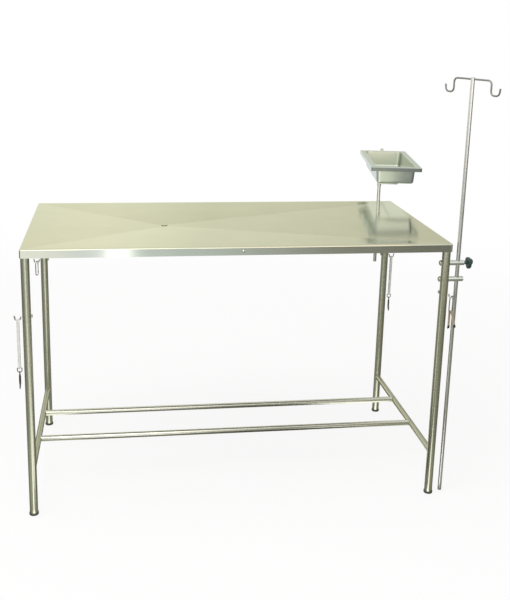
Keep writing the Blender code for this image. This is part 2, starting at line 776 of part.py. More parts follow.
def clamp_knob(name, axis):
    """A three-lobed plastic knob with a blind bore for its screw."""
    start = ARM_LENGTH + KNOB_STAND_OFF
    neck_end = start + KNOB_NECK_LENGTH
    bore = CLAMP_SCREW_DIAMETER / 2 + FIT_GAP
    bore_end = start + CLAMP_SCREW_GRIP + FIT_GAP
    neck = KNOB_NECK_DIAMETER / 2
    shrunk = KNOB_RADIUS - KNOB_EDGE
    face = neck_end + KNOB_THICKNESS
    sections = [
        (bore, 0, bore_end),
        (bore, 0, start),
        (neck, 0, start),
        (neck, 0, neck_end),
        (shrunk, KNOB_LOBE_DEPTH, neck_end),
        (KNOB_RADIUS, KNOB_LOBE_DEPTH, neck_end + KNOB_EDGE),
        (KNOB_RADIUS, KNOB_LOBE_DEPTH, face - KNOB_EDGE),
        (shrunk, KNOB_LOBE_DEPTH, face),
    ]
    bm = bmesh.new()
    rings = []
    for radius, lobe, height in sections:
        ring = []
        for side in range(KNOB_SIDES):
            turn = tau * side / KNOB_SIDES
            reach = radius + lobe * cos(KNOB_LOBES * turn)
            ring.append(bm.verts.new((reach * cos(turn), reach * sin(turn), height)))
        rings.append(ring)
    for low, high in zip(rings, rings[1:]):
        join_rings(bm, low, high)
    bm.faces.new(rings[0])
    bm.faces.new(rings[-1])
    add_object(name, finish_mesh(name, bm), knob_plastic(), axis, rotation=(0, pi / 2, 0))


def pole_arms():
    """The two arms on the front right leg, with the clamp knob on the upper one."""
    place = LEG_CORNERS["front_right"]
    upper = arm("upper_pole_arm", place, UPPER_ARM_HEIGHT, 0.0, POLE_BORE, True)
    arm("lower_pole_arm", place, LOWER_ARM_HEIGHT, 0.0, POLE_BORE, False)
    clamp_screw("pole_clamp_screw", upper, POLE_DIAMETER)
    clamp_knob("pole_clamp_knob", upper)


def post_arms():
    """The same two arms on the rear right leg, turned to reach past the top's rear edge."""
    place = LEG_CORNERS["rear_right"]
    bore = POST_DIAMETER + 2 * RUNNING_GAP
    upper = arm("upper_post_arm", place, UPPER_ARM_HEIGHT, POST_ARM_ANGLE, bore, True)
    arm("lower_post_arm", place, LOWER_ARM_HEIGHT, POST_ARM_ANGLE, bore, False)
    clamp_screw("post_clamp_screw", upper, POST_DIAMETER)
    clamp_knob("post_clamp_knob", upper)


# Infusion pole


def infusion_pole():
    """The pole slides in its arms; its head turns on it and carries the hook bar."""
    axis = add_empty("pole_axis", None, (POLE_X, 0, 0))
    wire_radius = HOOK_BAR_DIAMETER / 2
    head_bottom = HOOK_BAR_HEIGHT - wire_radius - POLE_HEAD_COVER
    head_top = HOOK_BAR_HEIGHT + wire_radius + POLE_HEAD_COVER
    pole_top = head_bottom - FIT_GAP
    profile = tube_profile(POLE_DIAMETER, POLE_WALL, POLE_FLOOR_CLEARANCE, pole_top)
    add_object("iv_pole", turned_mesh("iv_pole", profile), pole_steel(), axis)
    radius = POLE_DIAMETER / 2
    pin = radius - POLE_WALL - FIT_GAP
    head_profile = [
        (0, head_bottom - POLE_HEAD_SPIGOT_LENGTH),
        (pin, head_bottom - POLE_HEAD_SPIGOT_LENGTH),
        (pin, head_bottom),
        (radius, head_bottom),
        (radius, head_top - POLE_HEAD_COVER / 2),
        (radius - POLE_HEAD_COVER / 2, head_top),
        (0, head_top),
    ]
    turn = add_empty("pole_head_axis", axis, rotation=(0, 0, HOOK_BAR_ANGLE))
    head = add_object("pole_head", turned_mesh("pole_head", head_profile), pole_steel(), turn)
    hole = rod_cutter(
        "pole_head_cross_hole",
        HOOK_BAR_DIAMETER + 2 * FIT_GAP,
        -radius - CUT_OVERRUN,
        radius + CUT_OVERRUN,
        turn,
        (0, 0, HOOK_BAR_HEIGHT),
        (0, pi / 2, 0),
    )
    boolean(head, hole)
    add_object("hook_bar", wire_curve("hook_bar", hook_bar_path(), HOOK_BAR_DIAMETER), pole_steel(), turn)


def hook_bar_path():
    """Half of the bar ends in an open hook, and the other half mirrors it."""
    bottom = HOOK_BAR_HEIGHT - HOOK_BAR_DROP
    outer = HOOK_BAR_SHOULDER + HOOK_BAR_MOUTH
    half = [
        Vector((0, 0, HOOK_BAR_HEIGHT)),
        Vector((HOOK_BAR_SHOULDER, 0, HOOK_BAR_HEIGHT)),
        Vector((HOOK_BAR_SHOULDER, 0, bottom)),
        Vector((outer, 0, bottom)),
        Vector((outer + HOOK_BAR_TIP_LEAN, 0, bottom + HOOK_BAR_TIP_RISE)),
    ]
    bent = rounded_path(half, HOOK_BAR_BEND_RADIUS)
    mirrored = [Vector((-place.x, place.y, place.z)) for place in reversed(bent[1:])]
    return mirrored + bent[1:]


# Tray post, carrier and tray


def tray_post():
    """A tube that slides and clamps in the two post arms."""
    profile = tube_profile(POST_DIAMETER, POST_WALL, POST_BOTTOM, POST_TOP)
    place = (POST_X, POST_Y, 0)
    add_object("tray_post", turned_mesh("tray_post", profile), pole_steel(), location=place)


def tray_middle():
    """The tray's middle in the carrier's own frame, which starts at the post."""
    x = TRAY_WIDTH / 2 - TRAY_FLANGE - TRAY_WALL_TAPER - TRAY_POST_FROM_SIDE
    y = TRAY_LENGTH / 2 - TRAY_FLANGE - TRAY_WALL_TAPER - TRAY_POST_FROM_FRONT
    return x, y


def tray_carrier(axis):
    """Flat bars under the tray, a lug behind its rim and a pin that turns in the post."""
    middle_x, middle_y = tray_middle()
    half = CARRIER_BAR_WIDTH / 2
    low = CARRIER_TOP - CARRIER_THICKNESS
    lug_start = middle_y + TRAY_LENGTH / 2 + FIT_GAP
    lug_end = lug_start + CARRIER_THICKNESS
    lug_half = CARRIER_LUG_WIDTH / 2
    lug_x = middle_x - CARRIER_LUG_FROM_MIDDLE
    boss = CARRIER_BOSS_DIAMETER / 2
    outline = [
        (-boss, -boss),
        (middle_x + half, -boss),
        (middle_x + half, boss),
        (lug_x + lug_half, boss + half),
        (lug_x + lug_half, lug_end),
        (lug_x - lug_half, lug_end),
        (lug_x - lug_half, boss + half),
        (middle_x - half, boss),
        (-boss, boss),
    ]
    plate = prism_mesh("tray_carrier", outline, low, CARRIER_TOP)
    carrier = add_object("tray_carrier", plate, tray_steel(), axis)
    lug_outline = box_outline(lug_x - lug_half, lug_x + lug_half, lug_start, lug_end)
    lug_top = TRAY_BOTTOM_HEIGHT + TRAY_DEPTH + CARRIER_LUG_RISE
    lug_mesh = prism_mesh("tray_carrier_lug", lug_outline, low + CARRIER_THICKNESS / 2, lug_top)
    boolean(carrier, as_cutter(add_object("tray_carrier_lug", lug_mesh, None, axis)), "UNION")
    pin = POST_DIAMETER / 2 - POST_WALL - FIT_GAP
    boss_bottom = low - CARRIER_BOSS_HEIGHT
    boss_profile = [
        (0, boss_bottom - CARRIER_PIN_LENGTH),
        (pin, boss_bottom - CARRIER_PIN_LENGTH),
        (pin, boss_bottom),
        (boss, boss_bottom),
        (boss, low + CARRIER_THICKNESS / 2),
        (0, low + CARRIER_THICKNESS / 2),
    ]
    boss_mesh = turned_mesh("tray_carrier_boss", boss_profile)
    boolean(carrier, as_cutter(add_object("tray_carrier_boss", boss_mesh, None, axis)), "UNION")


def instrument_tray(axis):
    """A pressed pan with a flange and a turned-down lip, resting on its carrier."""
    rim = (TRAY_WIDTH / 2, TRAY_LENGTH / 2)
    top = TRAY_BOTTOM_HEIGHT + TRAY_DEPTH
    levels = [
        (0, TRAY_RIM_CORNER_RADIUS, top - TRAY_LIP),
        (0, TRAY_RIM_CORNER_RADIUS, top - TRAY_SHEET),
        (TRAY_SHEET, TRAY_RIM_CORNER_RADIUS - TRAY_SHEET, top),
        (TRAY_FLANGE - TRAY_SHEET, TRAY_WALL_CORNER_RADIUS, top),
        (TRAY_FLANGE, TRAY_WALL_CORNER_RADIUS, top - TRAY_SHEET),
    ]
    floor = TRAY_BOTTOM_HEIGHT + TRAY_SHEET
    for step in range(CORNER_STEPS):
        turn = step / (CORNER_STEPS - 1) * pi / 2
        inset = TRAY_FLANGE + TRAY_WALL_TAPER + TRAY_FLOOR_RADIUS * (1 - cos(turn))
        corner = max(TRAY_WALL_CORNER_RADIUS - TRAY_FLOOR_RADIUS * (1 - cos(turn)), TRAY_SHEET)
        levels.append((inset, corner, floor + TRAY_FLOOR_RADIUS * (1 - sin(turn))))
    bm = bmesh.new()
    rings = []
    for inset, corner, height in levels:
        loop = rectangle_loop(rim[0] - inset, rim[1] - inset, corner, 0.0)
        rings.append([bm.verts.new((x, y, height)) for x, y in loop])
    for low, high in zip(rings, rings[1:]):
        join_rings(bm, low, high)
    bm.faces.new(rings[-1])
    mesh = finish_mesh("instrument_tray", bm, TRAY_SHARP_ANGLE)
    tray = add_object("instrument_tray", mesh, tray_steel(), axis, location=(*tray_middle(), 0))
    thicken = tray.modifiers.new("sheet", "SOLIDIFY")
    thicken.thickness = TRAY_SHEET
    thicken.offset = -1
    thicken.use_even_offset = True


# Tie hooks, clips and straps


def tie_hook(corner):
    """A wire hook whose shank goes through the leg to a nut on the far side."""
    height, angle = TIE_HOOKS[corner]
    axis = add_empty(corner + "_hook_axis", None, (*LEG_CORNERS[corner], height), (0, 0, angle))
    name = corner + "_tie_hook"
    curve = wire_curve(name, tie_hook_path(), TIE_HOOK_DIAMETER)
    add_object(name, curve, bright_steel(), axis)
    nut_name = corner + "_tie_hook_nut"
    seat = LEG_RADIUS + FIT_GAP
    outline = hex_outline(HOOK_NUT_WIDTH)
    mesh = prism_mesh(nut_name, outline, seat, seat + HOOK_NUT_HEIGHT)
    nut = add_object(nut_name, mesh, bright_steel(), axis, rotation=(0, -pi / 2, 0))
    bore = rod_cutter(
        nut_name + "_bore",
        TIE_HOOK_DIAMETER + 2 * FIT_GAP,
        seat - CUT_OVERRUN,
        seat + HOOK_NUT_HEIGHT + CUT_OVERRUN,
        nut,
    )
    boolean(nut, bore)
    return axis


def tie_hook_seat():
    """How far out from the leg's axis the middle of the hook's seat lies, and how high."""
    start = LEG_RADIUS + TIE_HOOK_SHANK + TIE_HOOK_SLOPE
    return start + TIE_HOOK_SEAT / 2, -TIE_HOOK_DIP


def tie_hook_path():
    seat_middle, seat_height = tie_hook_seat()
    inner = seat_middle - TIE_HOOK_SEAT / 2
    outer = seat_middle + TIE_HOOK_SEAT / 2
    end = LEG_RADIUS + FIT_GAP + HOOK_NUT_HEIGHT + FIT_GAP
    points = [
        Vector((-end, 0, 0)),
        Vector((inner - TIE_HOOK_SLOPE, 0, 0)),
        Vector((inner, 0, seat_height)),
        Vector((outer, 0, seat_height)),
        Vector((outer + TIE_HOOK_SLOPE, 0, seat_height + TIE_HOOK_TIP_RISE)),
    ]
    return rounded_path(points, TIE_HOOK_BEND_RADIUS)


def hanging_point(corner):
    """The middle of the top of a tie hook's seat, in the world."""
    height, angle = TIE_HOOKS[corner]
    x, y = LEG_CORNERS[corner]
    out, drop = tie_hook_seat()
    top = height + drop + TIE_HOOK_DIAMETER / 2
    return Vector((x + out * cos(angle), y + out * sin(angle), top))


def spring_clip(name, corner, angle):
    """An oval wire clip on a tie hook, with a spring gate on one side."""
    swing = add_empty(name + "_axis", None, hanging_point(corner), (0, 0, angle))
    radius = (CLIP_WIDTH - CLIP_WIRE_DIAMETER) / 2
    top = FIT_GAP + CLIP_WIRE_DIAMETER / 2
    middle = top - (CLIP_LENGTH - CLIP_WIRE_DIAMETER) / 2
    half_side = (CLIP_LENGTH - CLIP_WIRE_DIAMETER) / 2 - radius
    gate_radius = CLIP_GATE_DIAMETER / 2
    opening = CLIP_GATE_LENGTH / 2 + FIT_GAP
    path = [Vector((radius, 0, middle + opening))]
    path += arc(radius, middle + half_side, 0)
    path += arc(radius, middle - half_side, pi)
    path.append(Vector((radius, 0, middle - opening)))
    add_object(name, wire_curve(name, path, CLIP_WIRE_DIAMETER), bright_steel(), swing)
    pivot = (radius, 0, middle - CLIP_GATE_LENGTH / 2 + gate_radius)
    length = CLIP_GATE_LENGTH - CLIP_GATE_DIAMETER
    gate_mesh = turned_mesh(name + "_gate", capsule_profile(gate_radius, length), SMALL_SIDES)
    add_object(name + "_gate", gate_mesh, bright_steel(), swing, location=pivot)


def arc(radius, height, start, steps=2 * BEND_STEPS):
    """Half a circle in the XZ plane about a centre on the Z axis."""
    turns = [start + pi * step / steps for step in range(steps + 1)]
    return [Vector((radius * cos(a), 0, height + radius * sin(a))) for a in turns]


def capsule_profile(radius, length):
    """A bar with round ends; its lower ball is centred on the origin."""
    profile = []
    for step in range(CORNER_STEPS + 1):
        turn = -pi / 2 + step / CORNER_STEPS * pi / 2
        profile.append((radius * cos(turn), radius * sin(turn)))
    for step in range(CORNER_STEPS + 1):
        turn = step / CORNER_STEPS * pi / 2
        profile.append((radius * cos(turn), length + radius * sin(turn)))
    profile[0] = (0, -radius)
    profile[-1] = (0, length + radius)
    return profile


def strap_loop_path():
    """Up the back, over the hook, down the front, under the ring's bar and up to the start."""
    over = TIE_HOOK_DIAMETER / 2 + FIT_GAP + STRAP_THICKNESS / 2
    under = RING_WIRE_DIAMETER / 2 + FIT_GAP + STRAP_THICKNESS / 2
    ring_bar = -TIE_HOOK_DIAMETER / 2 - STRAP_DROP
    seat = -TIE_HOOK_DIAMETER / 2
    joint = ring_bar + STRAP_DROP * STRAP_JOINT_SHARE
    closing = joint + STRAP_DROP * STRAP_CLOSING_SHARE
    path = [Vector((0, under, joint + FIT_GAP)), Vector((0, under, closing))]
    path += [Vector((0, over * cos(a), seat + over * sin(a))) for a in half_turn(0)]
    path += [Vector((0, under * cos(a), ring_bar + under * sin(a))) for a in half_turn(pi)]
    path.append(Vector((0, under, joint - FIT_GAP)))
    return path


def half_turn(start, steps=2 * BEND_STEPS):
    return [start + pi * step / steps for step in range(steps + 1)]


def long_strap(corner):
    """A webbing loop on a tie hook, with a ring and an end hook hanging from it."""
    axis = add_empty(corner + "_strap_axis", None, hanging_point(corner))
    name = corner + "_strap"
    across = Vector((1, 0, 0))
    mesh = ribbon_mesh(name, strap_loop_path(), across, STRAP_WIDTH, STRAP_THICKNESS)
    add_object(name, mesh, grey_webbing(), axis)
    ring_bar = -TIE_HOOK_DIAMETER / 2 - STRAP_DROP
    ring = wire_curve(corner + "_ring", ring_path(ring_bar), RING_WIRE_DIAMETER, closed=True)
    add_object(corner + "_ring", ring, dark_steel(), axis)
    path, shares = end_hook_path(ring_bar - RING_HEIGHT + RING_WIRE_DIAMETER)
    hook = wire_curve(corner + "_end_hook", path, END_HOOK_WIRE_DIAMETER, shares)
    add_object(corner + "_end_hook", hook, dark_steel(), axis)


def ring_path(bar_height):
    """A D-shaped ring: a straight bar for the strap above a half round."""
    radius = STRAP_WIDTH / 2 + RING_SIDE_ROOM + RING_WIRE_DIAMETER / 2
    low = bar_height - RING_HEIGHT + RING_WIRE_DIAMETER + radius
    corners = [Vector((radius, 0, low)), Vector((radius, 0, bar_height))]
    corners += [Vector((-radius, 0, bar_height)), Vector((-radius, 0, low))]
    path = rounded_path(corners, RING_WIRE_DIAMETER * RING_BEND_SHARE)
    path += arc(radius, low, pi)[1:-1]
    return path


def end_hook_path(ring_bottom):
    """An eye round the ring's lowest wire, a thick body and an open hook, all in one plane."""
    eye = RING_WIRE_DIAMETER / 2 + 2 * FIT_GAP + END_HOOK_WIRE_DIAMETER / 2
    thick = END_HOOK_BODY_DIAMETER / END_HOOK_WIRE_DIAMETER
    mouth = END_HOOK_MOUTH / 2
    turns = [END_HOOK_EYE_START - END_HOOK_EYE_TURN * i / EYE_STEPS for i in range(EYE_STEPS + 1)]
    path = [Vector((0, eye * cos(a), ring_bottom + eye * sin(a))) for a in turns]
    shares = [1.0] * len(path)
    body_top = ring_bottom - eye - END_HOOK_BODY_DIAMETER / 2
    bottom = ring_bottom - END_HOOK_LENGTH
    body_bottom = bottom + 2 * mouth
    taper = END_HOOK_TAPER_SHARE * (body_top - body_bottom)
    for height in (body_top, body_top - taper, body_bottom + taper, body_bottom):
        path.append(Vector((0, 0, height)))
        shares.append((1 + thick) / 2 if height in (body_top, body_bottom) else thick)
    for a in half_turn(0)[1:]:
        path.append(Vector((0, mouth * (cos(a) - 1), bottom + mouth + mouth * sin(-a))))
        shares.append(1.0)
    path.append(path[-1] + Vector((0, -END_HOOK_TIP_LEAN, END_HOOK_TIP_RISE)))
    shares.append(1.0)
    return path, shares


def tan_strap():
    """A short strap over the bottom of the front right clip, its front tail spread outwards."""
    swing = bpy.data.objects["front_right_clip_axis"]
    wire = CLIP_WIRE_DIAMETER / 2
    bend = CLIP_INSIDE_WIDTH / 2
    rise = bend - sqrt(bend**2 - (TAN_STRAP_WIDTH / 2) ** 2)
    bar = FIT_GAP + wire - (CLIP_LENGTH - CLIP_WIRE_DIAMETER) + rise
    turn = wire + FIT_GAP + TAN_STRAP_THICKNESS / 2
    knee = bar - TAN_STRAP_FRONT_DROP * TAN_STRAP_KNEE_SHARE
    path = [Vector((0, turn, bar - TAN_STRAP_REAR_DROP))]
    path += [Vector((0, turn * cos(a), bar + turn * sin(a))) for a in half_turn(0)]
    path.append(Vector((0, -(TAN_STRAP_FRONT_SPREAD + turn) / 2, knee)))
    path.append(Vector((0, -TAN_STRAP_FRONT_SPREAD, bar - TAN_STRAP_FRONT_DROP)))
    across = Vector((1, 0, 0))
    mesh = ribbon_mesh("front_right_strap", path, across, TAN_STRAP_WIDTH, TAN_STRAP_THICKNESS)
    add_object("front_right_strap", mesh, tan_webbing(), swing)


def build():
    clear_scene()
    top_panel()
    drain_spigot()
    for corner, place in LEG_CORNERS.items():
        leg(corner, place)
        foot(corner, place)
    upper_frame()
    lower_frame()
    skirt_screws()
    pole_arms()
    infusion_pole()
    post_arms()
    tray_post()
    tray_axis = add_empty("tray_axis", None, (POST_X, POST_Y, 0), (0, 0, TRAY_YAW))
    tray_carrier(tray_axis)
    instrument_tray(tray_axis)
    for corner in LEG_CORNERS:
        tie_hook(corner)
    spring_clip("rear_left_clip", "rear_left", REAR_LEFT_CLIP_ANGLE)
    spring_clip("front_right_clip", "front_right", FRONT_RIGHT_CLIP_ANGLE)
    long_strap("front_left")
    long_strap("rear_right")
    tan_strap()


build()
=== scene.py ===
"""The looks of the veterinary examination table: steel, plastic and webbing in a pale studio.

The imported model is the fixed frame. Metres, +Z up, the frame's own origin.
"""

from math import cos, pi, radians, sin, sqrt, tau

import bmesh
import bpy
from mathutils import Matrix, Vector

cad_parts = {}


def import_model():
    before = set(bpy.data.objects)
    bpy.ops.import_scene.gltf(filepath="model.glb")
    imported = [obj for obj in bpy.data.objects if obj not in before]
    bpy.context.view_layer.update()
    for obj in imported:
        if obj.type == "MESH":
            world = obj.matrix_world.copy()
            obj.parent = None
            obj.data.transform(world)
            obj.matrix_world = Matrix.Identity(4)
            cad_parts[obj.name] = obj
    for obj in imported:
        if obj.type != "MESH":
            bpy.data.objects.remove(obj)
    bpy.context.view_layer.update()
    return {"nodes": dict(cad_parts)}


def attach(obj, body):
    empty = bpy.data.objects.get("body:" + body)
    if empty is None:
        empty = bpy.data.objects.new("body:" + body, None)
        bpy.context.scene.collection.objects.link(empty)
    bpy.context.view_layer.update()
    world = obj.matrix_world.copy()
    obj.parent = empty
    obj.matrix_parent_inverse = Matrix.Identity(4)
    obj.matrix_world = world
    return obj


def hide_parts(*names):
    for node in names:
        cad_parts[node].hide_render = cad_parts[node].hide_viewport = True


# The photograph's camera
FRAME_WIDTH = 510
FRAME_HEIGHT = 600
FOCAL_PIXELS = 879.86
AXIS_PIXEL = (248.08, 228.28)
SENSOR = 36.0
CAMERA_PLACE = (0.2765, -2.510, 1.5152)
CAMERA_YAW = -0.1474
CAMERA_PITCH = -0.2364
CAMERA_ROLL = 0.0239
CAMERA_NEAR = 0.05

# The straps' routes, as in the part's source
STRAP_WIDTH = 0.0085
STRAP_THICKNESS = 0.0012
STRAP_DROP = 0.150
STRAP_JOINT_SHARE = 0.25
TIE_HOOK_RADIUS = 0.00225
RING_WIRE_RADIUS = 0.0013
FIT_GAP = 0.0003
STRAP_HANGING_POINTS = {
    "front_left": (-0.0262, 0.0, 0.63675),
    "rear_right": (1.2972, 0.621, 0.63675),
}
TAN_STRAP_POINT = (1.29246, -0.01503, 0.68075)
TAN_STRAP_TURN = radians(30)
TAN_STRAP_WIDTH = 0.0098
TAN_STRAP_THICKNESS = 0.0016
TAN_STRAP_BAR = -0.04721
TAN_STRAP_BEND = 0.0030
TAN_STRAP_REAR_DROP = 0.057
TAN_STRAP_FRONT_DROP = 0.048
TAN_STRAP_FRONT_SPREAD = 0.021
TAN_STRAP_KNEE_SHARE = 0.4
TAN_STRAP_ROUNDS = 12

# The straps' weave
WEAVE_UV = "weave"
WEAVE_PITCH = 0.0011
WEAVE_COLUMNS = 10
RIB_HEIGHT = 0.00006
SELVEDGE_POWER = 8
SELVEDGE_LEAST = 0.12

# The sewn tabs, their stitches and the tan strap's crimped ends
TAB_HALF_LENGTH = 0.008
TAB_THICKNESS = 0.001
TAB_WIDTH_SHARE = 0.96
TAB_GAP = 0.0002
STITCH_ROWS = (-0.0062, -0.0045, 0.0045, 0.0062)
STITCHES_IN_ROW = 6
STITCH_SPACING_SHARE = 0.14
STITCH_SLANT = 0.0006
STITCH_RISE = 0.0012
STITCH_PROUD = 0.00055
STITCH_RADIUS = 0.00018
CRIMP_POINTS = 9
CRIMP_WIDTH_SHARE = 1.06
CRIMP_THICKNESS = 0.0026

# Frame sizes that the added pieces sit on
LEG_SPAN_X = 1.271
LEG_SPAN_Y = 0.621
LEG_RADIUS = 0.0127
LOWER_RAIL_RADIUS = 0.0095
LOWER_RAIL_HEIGHT = 0.146
STRETCHER_SPACING = 0.194

# The weld beads
WELD_RADIUS = 0.0016
WELD_SIDES = 8
WELD_RIPPLE = 0.12
WELD_RIPPLE_STEPS = 4
SEAM_STEPS = 96
SEAM_LEAN = 0.7

# The depth of the brushed steel's grain
GRAIN_DEPTH = 0.0000015

# The tray's outside, where light and shade are painted: its turn, its front wall and lip, and faces by
# how far their normals rise
TRAY_REARWARD = (0.165, 0.986, 0.0)
TRAY_FRONT_REACH = 0.195
TRAY_LIP_ABOVE_MIDDLE = 0.017
LOOKS_DOWN = -0.5
LOOKS_UP = 0.5

# The studio: the table's middle, the floor, and the level cards, each a little over the one before
TABLE_MIDDLE = (0.64, 0.31)
SURROUND_LIGHT = 0.70
FLOOR_RADIUS = 30.0
FLOOR_SEGMENTS = 96
FLOOR_DROP = 0.0005
FLOOR_COLOR = (0.94, 0.94, 0.935)
FLOOR_GLOW = 0.86
FADE_START = 1.2
FADE_END = 4.0
CARD_FRONT = -2.15
WIDE_MAT_HEIGHT = 0.0004
FRONT_MAT_HEIGHT = 0.0006
STRETCHER_MAT_HEIGHT = 0.00065
GLARE_CARD_HEIGHT = 0.0007
FAN_HEIGHT = 0.0008
FAN_START = 0.02
FAN_START_HALF_WIDTH = 0.01
WHITE = (1.0, 1.0, 1.0)

UP = (0, 0, 1)

# A Mix node has sockets of one name for each kind; these are its vector ones
MIX_VECTOR_FIRST = 4
MIX_VECTOR_SECOND = 5
MIX_VECTOR_RESULT = 1


# Node helpers


def new_material(name):
    """A node material with its Principled shader."""
    made = bpy.data.materials.new(name)
    made.use_nodes = True
    return made, made.node_tree, made.node_tree.nodes["Principled BSDF"]


def add(tree, kind, **values):
    """A node whose keyword values are its properties."""
    node = tree.nodes.new(kind)
    for key, value in values.items():
        setattr(node, key, value)
    return node


def feed(tree, socket, value):
    """Joins an input socket to an output socket, or sets the input's own value."""
    if isinstance(value, bpy.types.NodeSocket):
        tree.links.new(value, socket)
    else:
        socket.default_value = value


def feed_named(tree, node, values):
    """Feeds a node's inputs by their names."""
    for name, value in values.items():
        feed(tree, node.inputs[name], value)


def fed_by(node, name):
    """The output socket that a node's input is joined to."""
    return node.inputs[name].links[0].from_socket


def object_place(tree):
    """The place on the object, in metres."""
    return add(tree, "ShaderNodeTexCoord").outputs["Object"]


def math_node(tree, operation, first, second=0.0):
    """A Math node on sockets or numbers; it gives its output socket."""
    node = add(tree, "ShaderNodeMath", operation=operation)
    for socket, value in zip(node.inputs, (first, second)):
        feed(tree, socket, value)
    return node.outputs[0]


def chain(tree, operation, first, *others):
    """Math nodes one after another, such as a sum or a product of many."""
    for other in others:
        first = math_node(tree, operation, first, other)
    return first


def vector_math(tree, operation, *values, result="Vector"):
    """A Vector Math node on sockets or vectors; it gives its output socket."""
    node = add(tree, "ShaderNodeVectorMath", operation=operation)
    for socket, value in zip(node.inputs, values):
        feed(tree, socket, value)
    return node.outputs[result]


def dot_product(tree, first, second):
    """How far one vector reaches along another."""
    return vector_math(tree, "DOT_PRODUCT", first, second, result="Value")


def tinted(tree, color, brightness):
    """A colour times a brightness pattern."""
    node = add(tree, "ShaderNodeVectorMath", operation="SCALE")
    feed(tree, node.inputs[0], color)
    feed(tree, node.inputs["Scale"], brightness)
    return node.outputs["Vector"]


def mixed(tree, share, first, second):
    """One vector where the share is zero, and the other where it is one."""
    node = add(tree, "ShaderNodeMix", data_type="VECTOR")
    feed(tree, node.inputs["Factor"], share)
    feed(tree, node.inputs[MIX_VECTOR_FIRST], first)
    feed(tree, node.inputs[MIX_VECTOR_SECOND], second)
    return node.outputs[MIX_VECTOR_RESULT]


def noise(tree, place, scale, detail=2.0, stretch=(1, 1, 1)):
    """A noise pattern in metres, stretched along an axis by a small number there."""
    mapping = add(tree, "ShaderNodeMapping")
    feed_named(tree, mapping, {"Vector": place, "Scale": stretch})
    node = add(tree, "ShaderNodeTexNoise")
    feed_named(tree, node, {"Vector": mapping.outputs["Vector"], "Scale": scale, "Detail": detail})
    return node.outputs["Fac"]


def ramp_range(tree, value, low, high, start=0.0, end=1.0, curve="LINEAR"):
    """Maps a pattern, which runs from start to end, onto a range."""
    node = add(tree, "ShaderNodeMapRange", interpolation_type=curve)
    feed_named(
        tree,
        node,
        {"Value": value, "From Min": start, "From Max": end, "To Min": low, "To Max": high},
    )
    return node.outputs["Result"]


def swing(tree, pattern, middle, reach):
    """A 0 to 1 pattern as a swing to both sides of a middle value."""
    return ramp_range(tree, pattern, middle - reach, middle + reach)


def bump(tree, height, distance, below=None):
    """Adds a height pattern in metres to the surface, on top of another bump."""
    node = add(tree, "ShaderNodeBump")
    feed_named(tree, node, {"Strength": 1.0, "Distance": distance, "Height": height})
    if below:
        feed(tree, node.inputs["Normal"], below)
    return node.outputs["Normal"]


# Materials


def steel(name, color, roughness, rim, grain, axis="Z", anisotropy=0.0, turn=0.0, wave=GRAIN_DEPTH):
    """Steel with fine grain and soft smudges.

    The rim is its brightness at a grazing view, and wave is the depth of its grain. Anisotropy stretches
    the highlights, in a direction that the axis and the turn give.
    """
    made, tree, shader = new_material(name)
    place = object_place(tree)
    brushed = noise(tree, place, scale=45.0, detail=3.0, stretch=grain)
    smudge = noise(tree, place, scale=9.0, detail=4.0)
    specks = noise(tree, place, scale=700.0)
    tone = math_node(tree, "ADD", swing(tree, brushed, 0.0, 0.05), swing(tree, smudge, 1.0, 0.06))
    rough = chain(
        tree,
        "ADD",
        swing(tree, brushed, 0.0, 0.012),
        swing(tree, smudge, roughness, 0.02),
        swing(tree, specks, 0.0, 0.008),
    )
    swell = bump(tree, noise(tree, place, scale=5.0, detail=1.0), distance=0.0003)
    tangent = add(tree, "ShaderNodeTangent", direction_type="RADIAL", axis=axis)
    skin = {
        "Base Color": tinted(tree, color, tone),
        "Roughness": rough,
        "Normal": bump(tree, brushed, distance=wave, below=swell),
        "Metallic": 1.0,
        "Specular Tint": (rim, rim, rim, 1.0),
        "Anisotropic": anisotropy,
        "Anisotropic Rotation": turn,
        "Tangent": tangent.outputs["Tangent"],
    }
    feed_named(tree, shader, skin)
    return made


def drawn_steel(name, color, roughness, rim, axis, anisotropy=0.75, fineness=60):
    """Steel drawn along an axis: its grain runs along it, and its highlights stretch across it."""
    grain = tuple(1 if letter == axis else fineness for letter in "XYZ")
    return steel(name, color, roughness, rim, grain, axis, anisotropy, turn=0.25)


def even_steel(name, color, roughness, rim, fineness=20, wave=GRAIN_DEPTH):
    """Steel whose grain has no direction."""
    return steel(name, color, roughness, rim, grain=(fineness,) * 3, wave=wave)


